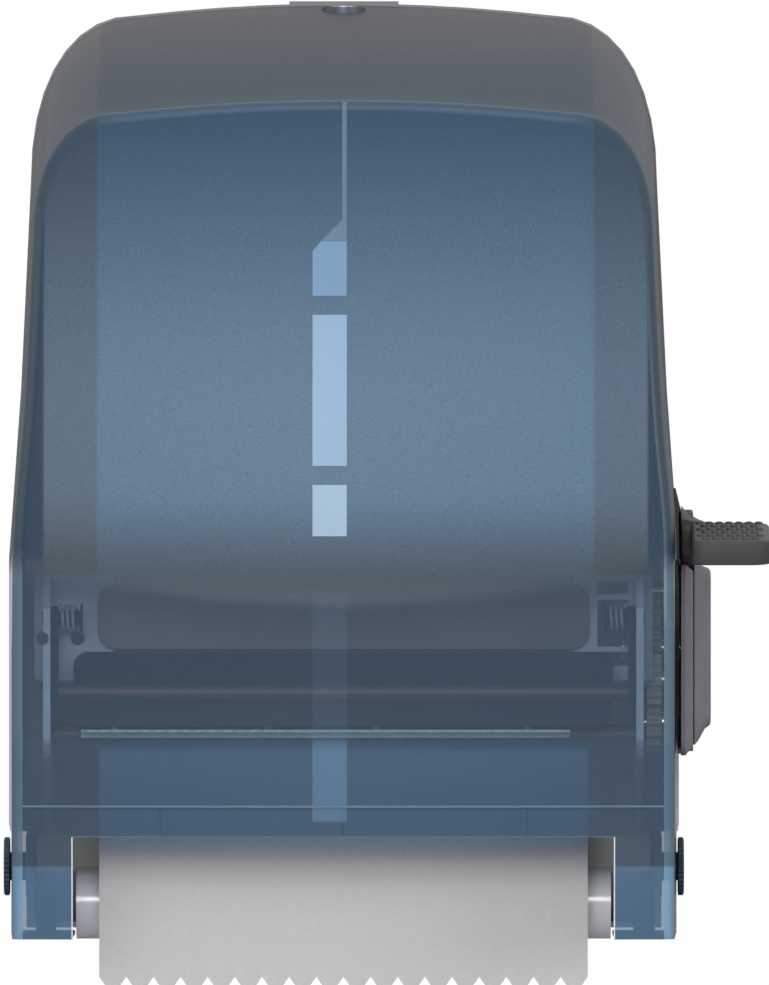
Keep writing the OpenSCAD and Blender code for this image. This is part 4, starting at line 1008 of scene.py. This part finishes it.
# pane colours, lowest first: painted light of the roll behind, darker higher up as painted shade
panes = ((-28.0, -6.8, (0.30, 0.45, 0.60)), (1.1, 63.6, (0.23, 0.385, 0.58)),
         (71.5, 94.0, (0.145, 0.28, 0.46)))
for number, (low, high, glow) in enumerate(panes):
    shape = [(pane_left, pane_right, low), (pane_left, pane_right, high - 4),
             (pane_left + (3.5 if number == 2 else 0), pane_right, high)]
    glass = clear_plastic("pane_" + str(number + 1), glow, 0.88, 0.4)
    on_front("sight_pane_" + str(number + 1), shape, glass)
ridge_plastic = clear_plastic("ridge_plastic", (0.10, 0.17, 0.25), 0.9, 0.3)
on_front("sight_ridge", [(-0.5, 1.46, 94.3), (-0.5, 1.46, 152)], ridge_plastic, 0.12)
on_front("sight_corner", [(-9.2, 1.46, 94.1), (-0.6, 1.46, 103)], ridge_plastic, 0.06, rows=4)


# Cover ribs. A low rib runs across the inside of the front just above the towel opening, with three gussets
# under it. A bead marks it outside and another edges the opening; both are coloured lighter than the cover as
# painted highlights. Lips and pads stiffen the two feet.
def front_rib(name, runs, finish, near, far):
    shapes = []
    for x0, x1, z0, z1 in runs:
        steps = max(1, round((x1 - x0) / 12))
        rings = []
        for k in range(steps + 1):
            x = between(x0, x1, k / steps)
            rings.append([(x, front_depth(x, z1, near), z1), (x, front_depth(x, z1, far), z1),
                          (x, front_depth(x, z0, far), z0), (x, front_depth(x, z0, near), z0)])
        shapes.append(loft(rings))
    ob = piece(name, *gather(shapes), "cover", [finish], 30)


# narrow lips close the feet of the two legs
lip_plastic = clear_plastic("lip_plastic", (0.070, 0.105, 0.145), 0.9, 0.3)
lip_low, lip_high, lip_back = -194.9, -193.2, -82
for side, side_name in ((-1, "left"), (1, "right")):
    lip = []
    for x in (112.5, 118, 124, 130, 134.4):
        front = front_depth(x, -194, 2.4)
        lip.append([(side * x, front, lip_low), (side * x, lip_back, lip_low), (side * x, lip_back, lip_high),
                    (side * x, front, lip_high)])
    lip_piece = piece("cover_lip_" + side_name, *loft(lip), "cover", [lip_plastic], 30)
rib_plastic = clear_plastic("rib_plastic", (0.115, 0.180, 0.250), 0.85)
# darker thickening inside each foot
pad_plastic = clear_plastic("pad_plastic", (0.030, 0.062, 0.105), 0.9)
pads = [(-127.2, -118.9, -193.9, -176.7), (120.1, 129.0, -193.9, -176.7)]
front_rib("cover_pads", pads, pad_plastic, 2.6, 3.6)
# bead round the towel opening, coloured near white as a painted highlight on the opening's edges
opening_highlight_paint = clear_plastic("opening_highlight_paint", (0.80, 0.88, 0.96), 0.9)
opening_sides = [(-opening_half - 0.5, -opening_half, lip_low, opening_head),
                 (opening_half, opening_half + 0.5, lip_low, opening_head)]
front_rib("opening_sides", opening_sides, opening_highlight_paint, -0.2, 0.6)
front_rib("opening_top", [(-opening_half, opening_half, opening_head, -152.1)], rib_plastic, -0.2, 0.4)
# the bead line across the front is coloured lighter than the cover as a painted highlight along the step
bead_line_highlight_paint = clear_plastic("bead_line_highlight_paint", (0.14, 0.22, 0.31), 0.9)
front_rib("cover_bead", [(-133, 133, -140.2, -139.4)], bead_line_highlight_paint, -0.2, 0.3)
front_rib("cover_rib", [(-128, 128, -141.2, -140.0)], rib_plastic, 2.4, 5.0)
gussets = [(x - 0.4, x + 0.4, -151.5, -141.3) for x in (-75.6, 0.0, 76.2)]
front_rib("cover_gussets", gussets, rib_plastic, 2.4, 4.4)
